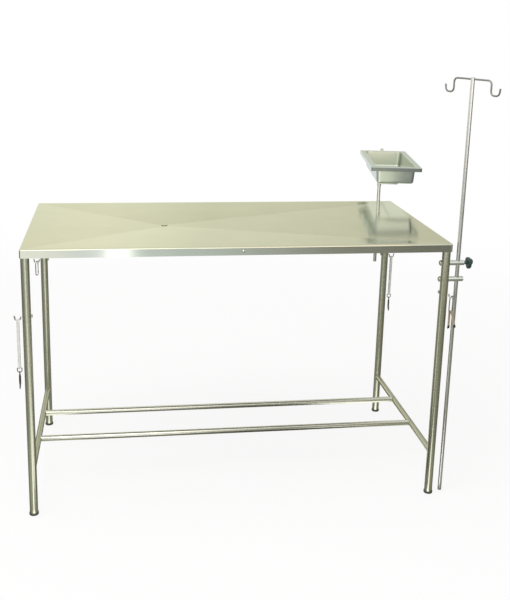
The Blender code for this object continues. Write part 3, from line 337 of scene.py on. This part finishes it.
def tray_painted_light(made, node, painted_reflection_tint, underside_painted_light, below_roughness, lip_painted_shade):
    """The tray's outside: a painted bluish reflection tint on its walls and rim, and painted shade on
    its front lip.

    Its faces that look down, which the top mirrors, are painted lighter, and are smoother.
    """
    tree = made.node_tree
    shader = tree.nodes["Principled BSDF"]
    corners = [Vector(corner) for corner in node.bound_box]
    middle = sum(corners, Vector()) / len(corners)
    coordinates = add(tree, "ShaderNodeTexCoord")
    normal = coordinates.outputs["Normal"]
    reach = vector_math(tree, "SUBTRACT", coordinates.outputs["Object"], middle)
    outward = math_node(tree, "GREATER_THAN", dot_product(tree, reach, normal), 0.0)
    rise = dot_product(tree, normal, UP)
    not_down = math_node(tree, "GREATER_THAN", rise, LOOKS_DOWN)
    not_up = math_node(tree, "LESS_THAN", rise, LOOKS_UP)
    high = math_node(tree, "GREATER_THAN", dot_product(tree, reach, UP), TRAY_LIP_ABOVE_MIDDLE)
    front = math_node(tree, "LESS_THAN", dot_product(tree, reach, TRAY_REARWARD), -TRAY_FRONT_REACH)
    # The front lip's outward faces, which get painted shade
    lip = chain(tree, "MULTIPLY", high, front, outward, not_up)
    # Faces that look down are painted lighter: painted light on the underside
    below_share = ramp_range(tree, not_down, underside_painted_light, 1.0)
    tone = math_node(tree, "MULTIPLY", below_share, ramp_range(tree, lip, 1.0, lip_painted_shade))
    toned = tinted(tree, fed_by(shader, "Base Color"), tone)
    # The outward walls and rim get a painted bluish reflection tint
    painted_tinted = vector_math(tree, "MULTIPLY", toned, painted_reflection_tint)
    walls = math_node(tree, "MULTIPLY", outward, not_down)
    smoothing = ramp_range(tree, not_down, below_roughness, 1.0)
    rough = math_node(tree, "MULTIPLY", fed_by(shader, "Roughness"), smoothing)
    feed(tree, shader.inputs["Roughness"], rough)
    feed(tree, shader.inputs["Base Color"], mixed(tree, walls, toned, painted_tinted))


def moulded(name, color, roughness):
    """Moulded plastic: a fine pebbled skin and faint scuffs."""
    made, tree, shader = new_material(name)
    place = object_place(tree)
    pebbles = noise(tree, place, scale=1800.0, detail=3.0)
    scuffs = noise(tree, place, scale=90.0, detail=5.0)
    skin = {
        "Base Color": tinted(tree, color, ramp_range(tree, scuffs, 0.75, 1.3)),
        "Roughness": ramp_range(tree, scuffs, roughness - 0.08, roughness + 0.12),
        "Normal": bump(tree, pebbles, distance=0.00008),
    }
    feed_named(tree, shader, skin)
    return made


def webbing(name, color):
    """Woven webbing: the strap's own UV runs in metres, along and across it."""
    made, tree, shader = new_material(name)
    split = add(tree, "ShaderNodeSeparateXYZ")
    feed(tree, split.inputs["Vector"], add(tree, "ShaderNodeUVMap", uv_map=WEAVE_UV).outputs["UV"])
    waves = []
    for way in ("X", "Y"):
        angle = math_node(tree, "MULTIPLY", split.outputs[way], tau / WEAVE_PITCH)
        waves.append(math_node(tree, "SINE", angle))
    weave = ramp_range(tree, math_node(tree, "MULTIPLY", *waves), 0.0, 1.0)
    place = object_place(tree)
    soil = noise(tree, place, scale=120.0, detail=4.0)
    fuzz = noise(tree, place, scale=2500.0, detail=3.0)
    soiled = ramp_range(tree, soil, 0.8, 1.15)
    tone = math_node(tree, "ADD", ramp_range(tree, weave, -0.12, 0.06), soiled)
    relief = bump(tree, weave, distance=0.00012)
    skin = {
        "Base Color": tinted(tree, color, tone),
        "Roughness": ramp_range(tree, fuzz, 0.75, 0.95),
        "Normal": bump(tree, fuzz, distance=0.00006, below=relief),
        "Sheen Weight": 0.3,
    }
    feed_named(tree, shader, skin)
    return made


def top_steel():
    """The top's sheet: polished along X, with a slight stretch of its highlights."""
    color, grain = (0.76, 0.76, 0.60), (1, 60, 60)
    return steel("top_steel", color, roughness=0.115, rim=0.8, grain=grain, axis="X", anisotropy=0.5)


def tray_steel(tray):
    """The pressed tray: smooth, with painted light, painted shade and a painted bluish reflection tint
    outside.
    """
    # The second colour is a painted bluish reflection tint for the outward walls and rim
    color, painted_reflection_tint = (0.62, 0.66, 0.57), (0.90, 0.96, 1.06)
    made = even_steel("tray_steel_pressed", color, 0.30, rim=1.0, fineness=8, wave=GRAIN_DEPTH / 3)
    # Painted light on the underside and painted shade on the front lip
    tray_painted_light(made, tray, painted_reflection_tint, underside_painted_light=1.5, below_roughness=0.35, lip_painted_shade=0.46)
    return made


def finishes(frame):
    """The looks of the steel, wire and plastic nodes."""
    khaki = (0.56, 0.57, 0.44)
    pole_grey = (0.72, 0.72, 0.69)
    arm_grey = (0.74, 0.78, 0.73)
    return {
        "upright": drawn_steel("leg_steel", khaki, 0.27, rim=0.5, axis="Z"),
        "along_x": drawn_steel("stretcher_steel", (0.72, 0.72, 0.61), 0.24, rim=0.45, axis="X"),
        "along_y": drawn_steel("rail_steel", khaki, 0.27, rim=0.5, axis="Y"),
        "sheet": top_steel(),
        "spigot": even_steel("spigot_steel", (0.85, 0.85, 0.72), 0.45, rim=0.9),
        "pole": drawn_steel("pole_steel_brushed", pole_grey, 0.22, rim=0.4, axis="Z", anisotropy=0.7),
        "hook": even_steel("hook_wire_steel", (0.34, 0.34, 0.32), 0.30, rim=0.5),
        "tray": tray_steel(frame["nodes"]["instrument_tray"]),
        "bright": even_steel("bright_steel_turned", (0.62, 0.64, 0.58), 0.24, rim=0.4),
        "arm": drawn_steel("arm_steel", arm_grey, 0.26, rim=0.4, axis="X", anisotropy=0.6, fineness=20),
        "nut": even_steel("nut_steel", (0.60, 0.60, 0.49), 0.42, rim=0.7),
        "dark": even_steel("dark_wire", (0.11, 0.11, 0.10), 0.42, rim=0.75),
        "rubber": moulded("foot_rubber", (0.065, 0.065, 0.06), 0.42),
        "knob": moulded("knob_moulded", (0.022, 0.050, 0.050), 0.36),
    }


def wearers():
    """The CAD nodes that keep their solids, by their finish."""
    corners = ("front_left", "front_right", "rear_left", "rear_right")
    levels = ("upper", "lower")
    side_rails = [f"{side}_{level}_rail" for side in ("left", "right") for level in levels]
    arms = [f"{level}_{post}_arm" for post in ("pole", "post") for level in levels]
    hooks = [corner + "_tie_hook" for corner in corners]
    clips = ["rear_left_clip", "front_right_clip"]
    gates = [clip + "_gate" for clip in clips]
    screws = ["front_skirt_screw", "rear_skirt_screw", "pole_clamp_screw", "post_clamp_screw"]
    return {
        "upright": [corner + "_leg" for corner in corners],
        "along_x": ["front_stretcher", "rear_stretcher", "front_upper_rail", "rear_upper_rail"],
        "along_y": side_rails,
        "sheet": ["top_panel"],
        "spigot": ["drain_spigot"],
        "pole": ["iv_pole", "pole_head", "tray_post"],
        "hook": ["hook_bar"],
        "tray": ["instrument_tray", "tray_carrier"],
        "bright": screws + hooks + clips + gates,
        "arm": arms,
        "nut": [held + "_nut" for held in hooks + arms],
        "dark": [strap + end for strap in STRAP_HANGING_POINTS for end in ("_ring", "_end_hook")],
        "rubber": [corner + "_foot" for corner in corners],
        "knob": ["pole_clamp_knob", "post_clamp_knob"],
    }


def dress_frame(frame, looks):
    """Gives each CAD node that stays its finish in place of its plain material."""
    for finish, nodes in wearers().items():
        for node in nodes:
            data = frame["nodes"][node].data
            data.materials.clear()
            data.materials.append(looks[finish])


# Straps


def half_turn(start, steps=12):
    """Angles along half a turn."""
    return [start + pi * step / steps for step in range(steps + 1)]


def strap_loop_route(hang):
    """Up the back, over the hook, down the front, under the ring's bar and up to the start."""
    over = TIE_HOOK_RADIUS + FIT_GAP + STRAP_THICKNESS / 2
    under = RING_WIRE_RADIUS + FIT_GAP + STRAP_THICKNESS / 2
    seat = -TIE_HOOK_RADIUS
    bar = seat - STRAP_DROP
    joint = bar + STRAP_DROP * STRAP_JOINT_SHARE
    path = [Vector((0, under, joint + FIT_GAP))]
    path += [Vector((0, over * cos(angle), seat + over * sin(angle))) for angle in half_turn(0)]
    path += [Vector((0, under * cos(angle), bar + under * sin(angle))) for angle in half_turn(pi)]
    path.append(Vector((0, under, joint - FIT_GAP)))
    return [Vector(hang) + point for point in path]


def tan_strap_route():
    """Up the rear tail, over the clip's bend and down the front tail, which stands outwards."""
    bar = TAN_STRAP_BAR
    bend = TAN_STRAP_BEND
    knee = bar - TAN_STRAP_FRONT_DROP * TAN_STRAP_KNEE_SHARE
    path = [Vector((0, bend, bar - TAN_STRAP_REAR_DROP))]
    path += [Vector((0, bend * cos(angle), bar + bend * sin(angle))) for angle in half_turn(0)]
    path.append(Vector((0, -(TAN_STRAP_FRONT_SPREAD + bend) / 2, knee)))
    path.append(Vector((0, -TAN_STRAP_FRONT_SPREAD, bar - TAN_STRAP_FRONT_DROP)))
    turn = Matrix.Rotation(TAN_STRAP_TURN, 3, "Z")
    return [Vector(TAN_STRAP_POINT) + turn @ point for point in path]


def run_lengths(path):
    """The length of each run of a polyline."""
    return [(end - start).length for start, end in zip(path, path[1:])]


def resample(path, step):
    """Points a fixed step apart along a polyline, its ends kept."""
    lengths = run_lengths(path)
    total = sum(lengths)
    count = max(2, round(total / step))
    points = []
    run, start = 0, 0.0
    for number in range(count + 1):
        at = total * number / count
        while run < len(lengths) - 1 and start + lengths[run] < at:
            start += lengths[run]
            run += 1
        share = min(max((at - start) / lengths[run], 0.0), 1.0)
        points.append(path[run].lerp(path[run + 1], share))
    return points


def smoothed(path, rounds):
    """Rounds a polyline's corners by averaging, its ends kept."""
    for _ in range(rounds):
        threes = zip(path, path[1:], path[2:])
        inner = [(before + place * 2 + after) / 4 for before, place, after in threes]
        path = [path[0], *inner, path[-1]]
    return path


def mesh_object(name, bm):
    """An object made of a finished bmesh, which it frees."""
    data = bpy.data.meshes.new(name)
    bm.to_mesh(data)
    bm.free()
    made = bpy.data.objects.new(name, data)
    bpy.context.scene.collection.objects.link(made)
    return made


def strap_outline(width, thickness):
    """Round a strap: each point's place across, its place through, and its face as 1 or -1."""
    section = []
    for column in range(WEAVE_COLUMNS + 1):
        share = -1 + 2 * column / WEAVE_COLUMNS
        edge = sqrt(max(1 - abs(share) ** SELVEDGE_POWER, SELVEDGE_LEAST))
        section.append((share * width / 2, edge * thickness / 2))
    front = [(across, through, 1) for across, through in section]
    back = [(across, -through, -1) for across, through in reversed(section)]
    return front + back


def strap_mesh(name, path, side, width, thickness, rib=RIB_HEIGHT):
    """A woven strap: rounded selvedges, and cross ribs that stand proud by turns."""
    bm = bmesh.new()
    uv_layer = bm.loops.layers.uv.new(WEAVE_UV)
    outline = strap_outline(width, thickness)
    rings, travelled = [], [0.0]
    for row, place in enumerate(path):
        ahead = path[min(row + 1, len(path) - 1)] - path[max(row - 1, 0)]
        normal = side.cross(ahead).normalized()
        if row:
            travelled.append(travelled[-1] + (place - path[row - 1]).length)
        proud = rib * (1 if row % 2 else -1)
        ring = []
        for column, (across, through, face) in enumerate(outline):
            weave = proud * face * (1 if column % 2 else -1)
            ring.append(bm.verts.new(place + side * across + normal * (through - weave / 2)))
        rings.append(ring)
    pairs = zip(zip(rings, travelled), zip(rings[1:], travelled[1:]))
    for (low, low_at), (high, high_at) in pairs:
        for column in range(len(outline)):
            after = (column + 1) % len(outline)
            face = bm.faces.new((low[column], low[after], high[after], high[column]))
            face.smooth = True
            spots = ((low_at, column), (low_at, column + 1), (high_at, column + 1), (high_at, column))
            for loop, (along, across) in zip(face.loops, spots):
                loop[uv_layer].uv = (along, across * width / WEAVE_COLUMNS)
    bm.faces.new(rings[0])
    bm.faces.new(rings[-1])
    bmesh.ops.recalc_face_normals(bm, faces=bm.faces)
    return mesh_object(name, bm)


def long_straps(cloth, thread):
    """The two grey webbing loops, each sewn closed above its ring."""
    across = Vector((1, 0, 0))
    for corner, hang in STRAP_HANGING_POINTS.items():
        node = corner + "_strap"
        route = resample(strap_loop_route(hang), WEAVE_PITCH)
        strap = strap_mesh(corner + "_strap_woven", route, across, STRAP_WIDTH, STRAP_THICKNESS)
        strap.data.materials.append(cloth)
        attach(strap, "table")
        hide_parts(node)
        tab = sewn_tab(corner, hang, cloth, thread)


def sewn_tab(corner, hang, cloth, thread):
    """A short patch of webbing over the loop's joint, with two bars of stitches at each end."""
    outside = RING_WIRE_RADIUS + FIT_GAP + STRAP_THICKNESS + TAB_GAP + TAB_THICKNESS / 2
    joint_drop = TIE_HOOK_RADIUS + STRAP_DROP * (1 - STRAP_JOINT_SHARE)
    joint = Vector(hang) + Vector((0, outside, -joint_drop))
    half = Vector((0, 0, TAB_HALF_LENGTH))
    route = resample([joint - half, joint + half], WEAVE_PITCH)
    across = Vector((1, 0, 0))
    width = STRAP_WIDTH * TAB_WIDTH_SHARE
    patch = strap_mesh(corner + "_strap_tab", route, across, width, TAB_THICKNESS)
    patch.data.materials.append(cloth)
    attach(patch, "table")
    sewing = thread_object(corner + "_strap_stitching", tab_stitches(joint), STITCH_RADIUS)
    sewing.data.materials.append(thread)
    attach(sewing, "table")
    return [patch, sewing]


def tab_stitches(joint):
    """Each stitch of a sewn tab as its two ends, slanting up across the tab's outer face."""
    stitch = Vector((STITCH_SLANT, 0, STITCH_RISE))
    stitches = []
    for row in STITCH_ROWS:
        for number in range(STITCHES_IN_ROW):
            x = (number - (STITCHES_IN_ROW - 1) / 2) * STRAP_WIDTH * STITCH_SPACING_SHARE
            start = joint + Vector((x, STITCH_PROUD, row)) - stitch / 2
            stitches.append((start, start + stitch))
    return stitches


def thread_object(name, stitches, radius):
    """Short rounded stitches, as one curve object."""
    data = bpy.data.curves.new(name, "CURVE")
    data.dimensions = "3D"
    data.bevel_depth = radius
    data.bevel_resolution = 1
    data.use_fill_caps = True
    for start, end in stitches:
        spline = data.splines.new("POLY")
        spline.points.add(1)
        spline.points[0].co = (*start, 1)
        spline.points[1].co = (*end, 1)
    made = bpy.data.objects.new(name, data)
    bpy.context.scene.collection.objects.link(made)
    return made


def tan_strap(cloth, dark):
    """The short strap in the front right clip, with a dark crimped end on each tail."""
    side = Matrix.Rotation(TAN_STRAP_TURN, 3, "Z") @ Vector((1, 0, 0))
    route = smoothed(resample(tan_strap_route(), WEAVE_PITCH), TAN_STRAP_ROUNDS)
    strap = strap_mesh("front_right_strap_woven", route, side, TAN_STRAP_WIDTH, TAN_STRAP_THICKNESS)
    strap.data.materials.append(cloth)
    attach(strap, "front_clip")
    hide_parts("front_right_strap")
    crimp_width = TAN_STRAP_WIDTH * CRIMP_WIDTH_SHARE
    for name, way in (("rear", route), ("front", route[::-1])):
        piece = "front_right_strap_" + name + "_end"
        end = strap_mesh(piece, way[:CRIMP_POINTS], side, crimp_width, CRIMP_THICKNESS, rib=0.0)
        end.data.materials.append(dark)
        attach(end, "front_clip")


# Welds


def weld_bead(name, seam, look):
    """A rippled bead along a closed seam, like a row of overlapping coins."""
    bm = bmesh.new()
    rings = []
    count = len(seam)
    for number, (place, out) in enumerate(seam):
        ahead = (seam[(number + 1) % count][0] - seam[number - 1][0]).normalized()
        across = ahead.cross(out).normalized()
        radius = WELD_RADIUS * (1 + WELD_RIPPLE * sin(number * tau / WELD_RIPPLE_STEPS))
        ring = []
        for side in range(WELD_SIDES):
            turn = tau * side / WELD_SIDES
            ring.append(bm.verts.new(place + (out * cos(turn) + across * sin(turn)) * radius))
        rings.append(ring)
    for low, high in zip(rings, rings[1:] + rings[:1]):
        for side in range(WELD_SIDES):
            after = (side + 1) % WELD_SIDES
            bm.faces.new((low[side], low[after], high[after], high[side])).smooth = True
    bmesh.ops.recalc_face_normals(bm, faces=bm.faces)
    bead = mesh_object(name, bm)
    bead.data.materials.append(look)
    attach(bead, "table")


def rail_to_leg_seam(x, y, toward):
    """Where a lower rail along Y meets a leg: points on both tubes, with the way out of the corner."""
    seam = []
    for step in range(SEAM_STEPS):
        angle = tau * step / SEAM_STEPS
        dx, dz = LOWER_RAIL_RADIUS * cos(angle), LOWER_RAIL_RADIUS * sin(angle)
        reach = sqrt(LEG_RADIUS**2 - dx**2)
        place = Vector((x + dx, y + toward * reach, LOWER_RAIL_HEIGHT + dz))
        out = Vector((cos(angle), toward * SEAM_LEAN, sin(angle))).normalized()
        seam.append((place, out))
    return seam


def stretcher_to_rail_seam(x, y, toward):
    """Where a stretcher along X meets a lower rail along Y."""
    seam = []
    for step in range(SEAM_STEPS):
        angle = tau * step / SEAM_STEPS
        dy, dz = LOWER_RAIL_RADIUS * cos(angle), LOWER_RAIL_RADIUS * sin(angle)
        reach = sqrt(max(LOWER_RAIL_RADIUS**2 - dz**2, 0.0))
        place = Vector((x + toward * reach, y + dy, LOWER_RAIL_HEIGHT + dz))
        out = Vector((toward * SEAM_LEAN, cos(angle), sin(angle))).normalized()
        seam.append((place, out))
    return seam


def welds(look):
    """A bead at both ends of each lower rail and of each stretcher."""
    for side, x, inward in (("left", 0.0, 1), ("right", LEG_SPAN_X, -1)):
        for end, y, toward in (("front", 0.0, 1), ("rear", LEG_SPAN_Y, -1)):
            weld_bead(f"{end}_{side}_leg_weld", rail_to_leg_seam(x, y, toward), look)
        for name, sign in (("front", -1), ("rear", 1)):
            y = LEG_SPAN_Y / 2 + sign * STRETCHER_SPACING / 2
            weld_bead(f"{name}_stretcher_{side}_weld", stretcher_to_rail_seam(x, y, inward), look)


# Studio


def camera():
    """The photograph's own view: its principal point gives the shift."""
    data = bpy.data.cameras.new("camera")
    data.sensor_width = SENSOR
    data.lens = FOCAL_PIXELS * SENSOR / FRAME_HEIGHT
    data.shift_x = (FRAME_WIDTH / 2 - AXIS_PIXEL[0]) / FRAME_HEIGHT
    data.shift_y = -(FRAME_HEIGHT / 2 - AXIS_PIXEL[1]) / FRAME_HEIGHT
    data.clip_start = CAMERA_NEAR
    made = bpy.data.objects.new("camera", data)
    bpy.context.scene.collection.objects.link(made)
    turn = Matrix.Rotation(CAMERA_YAW, 4, "Z") @ Matrix.Rotation(pi / 2 + CAMERA_PITCH, 4, "X")
    turn = turn @ Matrix.Rotation(CAMERA_ROLL, 4, "Z")
    made.matrix_world = Matrix.Translation(CAMERA_PLACE) @ turn
    bpy.context.scene.camera = made


def seen_rays(tree):
    """One for camera, glossy and transmission rays, and zero for the rest."""
    path = add(tree, "ShaderNodeLightPath")
    kinds = [path.outputs[f"Is {kind} Ray"] for kind in ("Camera", "Glossy", "Transmission")]
    return chain(tree, "MAXIMUM", *kinds)


def tone_ramp(tree, share, tones):
    """Colours at shares of a run, and blends between them."""
    ramp = add(tree, "ShaderNodeValToRGB")
    stops = ramp.color_ramp.elements
    stops[0].position, stops[1].position = tones[0][0], tones[-1][0]
    stops[0].color = (*tones[0][1], 1.0)
    stops[1].color = (*tones[-1][1], 1.0)
    for position, color in tones[1:-1]:
        stops.new(position).color = (*color, 1.0)
    feed(tree, ramp.inputs["Fac"], share)
    return ramp.outputs["Color"]


def world():
    """A white surround that dims slightly overhead; it lights the object less than it shows."""
    made = bpy.data.worlds.new("studio")
    made.use_nodes = True
    bpy.context.scene.world = made
    tree = made.node_tree
    split = add(tree, "ShaderNodeSeparateXYZ")
    feed(tree, split.inputs["Vector"], add(tree, "ShaderNodeTexCoord").outputs["Generated"])
    color = tone_ramp(tree, split.outputs["Z"], ((0.25, WHITE), (0.60, (0.84, 0.84, 0.82))))
    strength = ramp_range(tree, seen_rays(tree), SURROUND_LIGHT, 1.0)
    feed_named(tree, tree.nodes["Background"], {"Color": color, "Strength": strength})


def floor():
    """A pale disc that fades into the surround and keeps the object's shadow."""
    bm = bmesh.new()
    bmesh.ops.create_circle(bm, cap_ends=True, segments=FLOOR_SEGMENTS, radius=FLOOR_RADIUS)
    disc = mesh_object("floor", bm)
    disc.location = (*TABLE_MIDDLE, -FLOOR_DROP)
    made, tree, shader = new_material("floor_paper")
    place = object_place(tree)
    away = vector_math(tree, "LENGTH", place, result="Value")
    far = ramp_range(tree, away, FLOOR_GLOW, 1.0, FADE_START, FADE_END, "SMOOTHSTEP")
    grain = swing(tree, noise(tree, place, scale=3.0), 1.0, 0.01)
    paper = {
        "Base Color": tinted(tree, FLOOR_COLOR, grain),
        "Roughness": 0.9,
        "Specular IOR Level": 0.0,
    }
    feed_named(tree, shader, paper)
    share = math_node(tree, "MULTIPLY", far, seen_rays(tree))
    glow = add(tree, "ShaderNodeEmission")
    blend = add(tree, "ShaderNodeMixShader")
    for socket, value in zip(blend.inputs, (share, shader.outputs["BSDF"], glow.outputs["Emission"])):
        feed(tree, socket, value)
    feed(tree, tree.nodes["Material Output"].inputs["Surface"], blend.outputs["Shader"])
    disc.data.materials.append(made)


def lamp(name, place, target, width, height, power):
    """A soft rectangular lamp that looks at a point and isn't mirrored."""
    data = bpy.data.lights.new(name, "AREA")
    data.shape = "RECTANGLE"
    data.size = width
    data.size_y = height
    data.energy = power
    made = bpy.data.objects.new(name, data)
    bpy.context.scene.collection.objects.link(made)
    made.location = place
    made.visible_glossy = False
    look = Vector(target) - Vector(place)
    made.rotation_euler = look.to_track_quat("-Z", "Y").to_euler()


# The cards that only reflections see


def grey(level, blue=1.0):
    """A grey, with its blue scaled to make it warmer."""
    return (level, level, level * blue)


def even(color):
    """One tone all along."""
    return ((0.0, color), (1.0, color))


def placed(tones, low, high):
    """Turns tones at places into tones at shares of the run from low to high."""
    return [((at - low) / (high - low), color) for at, color in tones]


def share_along(tree, place, start, end):
    """How far a place lies along the way from one point to another, as a share."""
    run = Vector(end) - Vector(start)
    away = vector_math(tree, "SUBTRACT", place, start)
    return dot_product(tree, away, run / run.length_squared)


def card(name, corners, tones, strength=1.0, rising=None):
    """A studio card that only reflections see: tones along its first edge, times tones up its last."""
    bm = bmesh.new()
    bm.faces.new([bm.verts.new(corner) for corner in corners])
    made = mesh_object(name, bm)
    look, tree, shader = new_material(name + "_paper")
    tree.nodes.remove(shader)
    place = object_place(tree)
    tone = tone_ramp(tree, share_along(tree, place, corners[0], corners[1]), tones)
    if rising:
        upward = tone_ramp(tree, share_along(tree, place, corners[0], corners[3]), rising)
        tone = vector_math(tree, "MULTIPLY", tone, upward)
    glow = add(tree, "ShaderNodeEmission")
    feed_named(tree, glow, {"Color": tone, "Strength": strength})
    feed(tree, tree.nodes["Material Output"].inputs["Surface"], glow.outputs["Emission"])
    made.data.materials.append(look)
    made.visible_camera = False
    made.visible_diffuse = False
    made.visible_shadow = False


def facing_sheet(left, right, y, bottom, top):
    """The corners of an upright card along X."""
    return ((left, y, bottom), (right, y, bottom), (right, y, top), (left, y, top))


def side_sheet(x, front, rear, bottom, top):
    """The corners of an upright card along Y."""
    return ((x, front, bottom), (x, rear, bottom), (x, rear, top), (x, front, top))


def level_sheet(left, right, front, rear, height):
    """The corners of a level card."""
    return ((left, front, height), (right, front, height), (right, rear, height), (left, rear, height))


def front_card():
    """Low before the table: bluish at the left with a bright strip, dark at the right, dimmer above."""
    left, right = -1.3, 2.9
    bluish, bright = (0.385, 0.41, 0.475), (0.85, 0.88, 1.0)
    tones = (
        (left, (0.47, 0.48, 0.51)),
        (-0.15, (0.46, 0.47, 0.50)),
        (0.03, bluish),
        (0.185, bluish),
        (0.20, bright),
        (0.318, bright),
        (0.337, (0.30, 0.335, 0.38)),
        (0.75, (0.26, 0.29, 0.32)),
        (1.45, (0.135, 0.14, 0.14)),
        (1.98, (0.09, 0.093, 0.09)),
        (right, (0.08, 0.08, 0.08)),
    )
    rising = ((0.0, WHITE), (0.42, WHITE), (0.55, grey(0.6)), (1.0, grey(0.6)))
    corners = facing_sheet(left, right, y=-2.2, bottom=0.0, top=0.75)
    card("front_card", corners, placed(tones, left, right), strength=2.2, rising=rising)


def back_card():
    """Far behind: the top mirrors it, from about 2.2 m at its rear edge to 2.8 m at its front."""
    left, right, bottom, top = -5.0, 9.0, 0.9, 5.0
    across = (
        (left, 0.90),
        (-0.7, 0.90),
        (0.1, 0.935),
        (0.5, 0.90),
        (1.2, 0.80),
        (1.8, 0.785),
        (2.4, 0.755),
        (2.8, 0.73),
        (3.5, 0.69),
        (right, 0.66),
    )
    upward = (
        (bottom, 0.96),
        (2.05, 0.96),
        (2.13, 0.95),
        (2.21, 0.79),
        (2.24, 0.79),
        (2.28, 0.91),
        (2.42, 0.91),
        (2.50, 0.84),
        (2.61, 0.76),
        (2.635, 0.80),
        (2.66, 1.0),
        (2.72, 0.94),
        (2.79, 0.82),
        (2.85, 0.75),
        (top, 0.75),
    )
    tones = placed([(at, grey(level, 0.84)) for at, level in across], left, right)
    rising = placed([(at, grey(level)) for at, level in upward], bottom, top)
    corners = facing_sheet(left, right, 7.0, bottom, top)
    card("back_card", corners, tones, strength=1.3, rising=rising)


def high_cards():
    """A window high behind the camera, a card overhead, and a warm card before the tray."""
    window = facing_sheet(-1.4, 0.95, y=-3.5, bottom=1.5, top=5.0)
    card("window_card", window, ((0.0, WHITE), (0.8, WHITE), (1.0, grey(0.5))), strength=2.5)
    ceiling = level_sheet(-0.9, 1.0, front=-1.7, rear=-0.2, height=2.6)
    card("ceiling_card", ceiling, ((0.0, WHITE), (0.6, WHITE), (1.0, grey(0.2))), strength=3.0)
    before_tray = facing_sheet(0.7, 1.9, y=-2.25, bottom=0.85, top=1.9)
    card("tray_card", before_tray, even((1.0, 0.89, 0.80)), strength=2.1)


def low_cards():
    """Two shades, a mat under the stretchers and a bright strip on the floor."""
    under_top = level_sheet(0.0, LEG_SPAN_X, front=0.0, rear=0.62, height=0.8)
    card("top_shade", under_top, even((0.15, 0.15, 0.14)))
    dark, darker = (0.22, 0.22, 0.20), (0.10, 0.10, 0.09)
    under_stretchers = level_sheet(0.1, 1.12, front=-0.45, rear=0.40, height=STRETCHER_MAT_HEIGHT)
    card("stretcher_mat", under_stretchers, ((0.0, dark), (0.4, dark), (0.6, darker)))
    before_legs = facing_sheet(0.50, 1.70, y=-0.3, bottom=0.12, top=0.70)
    tones = ((0.0, (0.95, 0.95, 0.92)), (0.3, (0.36, 0.36, 0.31)), (1.0, (0.26, 0.26, 0.22)))
    card("under_shade", before_legs, tones)
    glare = level_sheet(0.12, 0.55, front=-2.1, rear=-0.1, height=GLARE_CARD_HEIGHT)
    card("glare_card", glare, ((0.0, WHITE), (0.7, WHITE), (1.0, grey(0.5))), strength=1.7)


def side_flags():
    """A dark card beside the table at the left and at the right, greyer at its front and rear."""
    dark, pale = (0.22, 0.22, 0.19), (0.40, 0.40, 0.37)
    tones = ((0.0, pale), (0.2, dark), (0.8, dark), (1.0, pale))
    for name, x, top in (("left", -1.5, 0.8), ("right", 2.9, 1.4)):
        card(name + "_flag", side_sheet(x, front=-2.1, rear=3.0, bottom=0.02, top=top), tones)


def floor_mat(name, left, right, rear, height, left_level, right_level):
    """A grey card on the floor, from before the camera to its rear edge, paler in its left half."""
    left_tone, right_tone = grey(left_level, 0.88), grey(right_level, 0.86)
    tones = ((0.0, left_tone), (0.5, left_tone), (0.56, right_tone), (1.0, right_tone))
    card(name + "_mat", level_sheet(left, right, CARD_FRONT, rear, height), tones)


def leg_fans():
    """A strip on the floor before each leg, which widens and darkens towards the camera."""
    tones = ((0.0, WHITE), (0.35, grey(0.9)), (0.7, (0.45, 0.45, 0.42)), (1.0, (0.3, 0.3, 0.27)))
    legs = (
        ("fl", 0.0, 0.0, 0.75, 0.22),
        ("fr", LEG_SPAN_X, 0.0, 0.75, 0.24),
        ("rl", 0.0, LEG_SPAN_Y, 0.45, 0.3),
        ("rr", LEG_SPAN_X, LEG_SPAN_Y, 0.45, 0.5),
    )
    for corner, x, y, reach, widening in legs:
        base = Vector((x, y, FAN_HEIGHT))
        ahead = Vector((CAMERA_PLACE[0] - x, CAMERA_PLACE[1] - y, 0)).normalized()
        across = ahead.cross(Vector(UP))
        near, far = base + ahead * FAN_START, base + ahead * reach
        narrow, wide = across * FAN_START_HALF_WIDTH, across * reach * widening
        corners = (near - narrow, far - wide, far + wide, near + narrow)
        card(corner + "_fan", corners, tones, strength=2.1)


def reflected_cards():
    """What the steel mirrors besides the surround and the floor."""
    front_card()
    back_card()
    high_cards()
    low_cards()
    side_flags()
    floor_mat("wide", -4.0, 6.0, 3.2, WIDE_MAT_HEIGHT, left_level=0.33, right_level=0.22)
    floor_mat("front", -0.35, 1.5, -0.05, FRONT_MAT_HEIGHT, left_level=0.5, right_level=0.4)
    leg_fans()


def studio():
    """The surround, the floor, two soft lamps and the cards."""
    world()
    floor()
    lamp("key", (0.25, -2.75, 1.55), (0.64, 0.2, 0.6), width=1.0, height=1.1, power=14.0)
    lamp("overhead", (-0.4, -0.6, 3.4), (*TABLE_MIDDLE, 0.6), width=2.4, height=2.4, power=55.0)
    reflected_cards()


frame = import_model()
bpy.context.scene.view_settings.view_transform = "Standard"
camera()
looks = finishes(frame)
dress_frame(frame, looks)
grey_cloth = webbing("grey_webbing_woven", (0.74, 0.75, 0.70))
tan_cloth = webbing("tan_webbing_woven", (0.42, 0.33, 0.22))
thread = webbing("thread", (0.30, 0.30, 0.28))
long_straps(grey_cloth, thread)
tan_strap(tan_cloth, looks["dark"])
welds(looks["upright"])
studio()
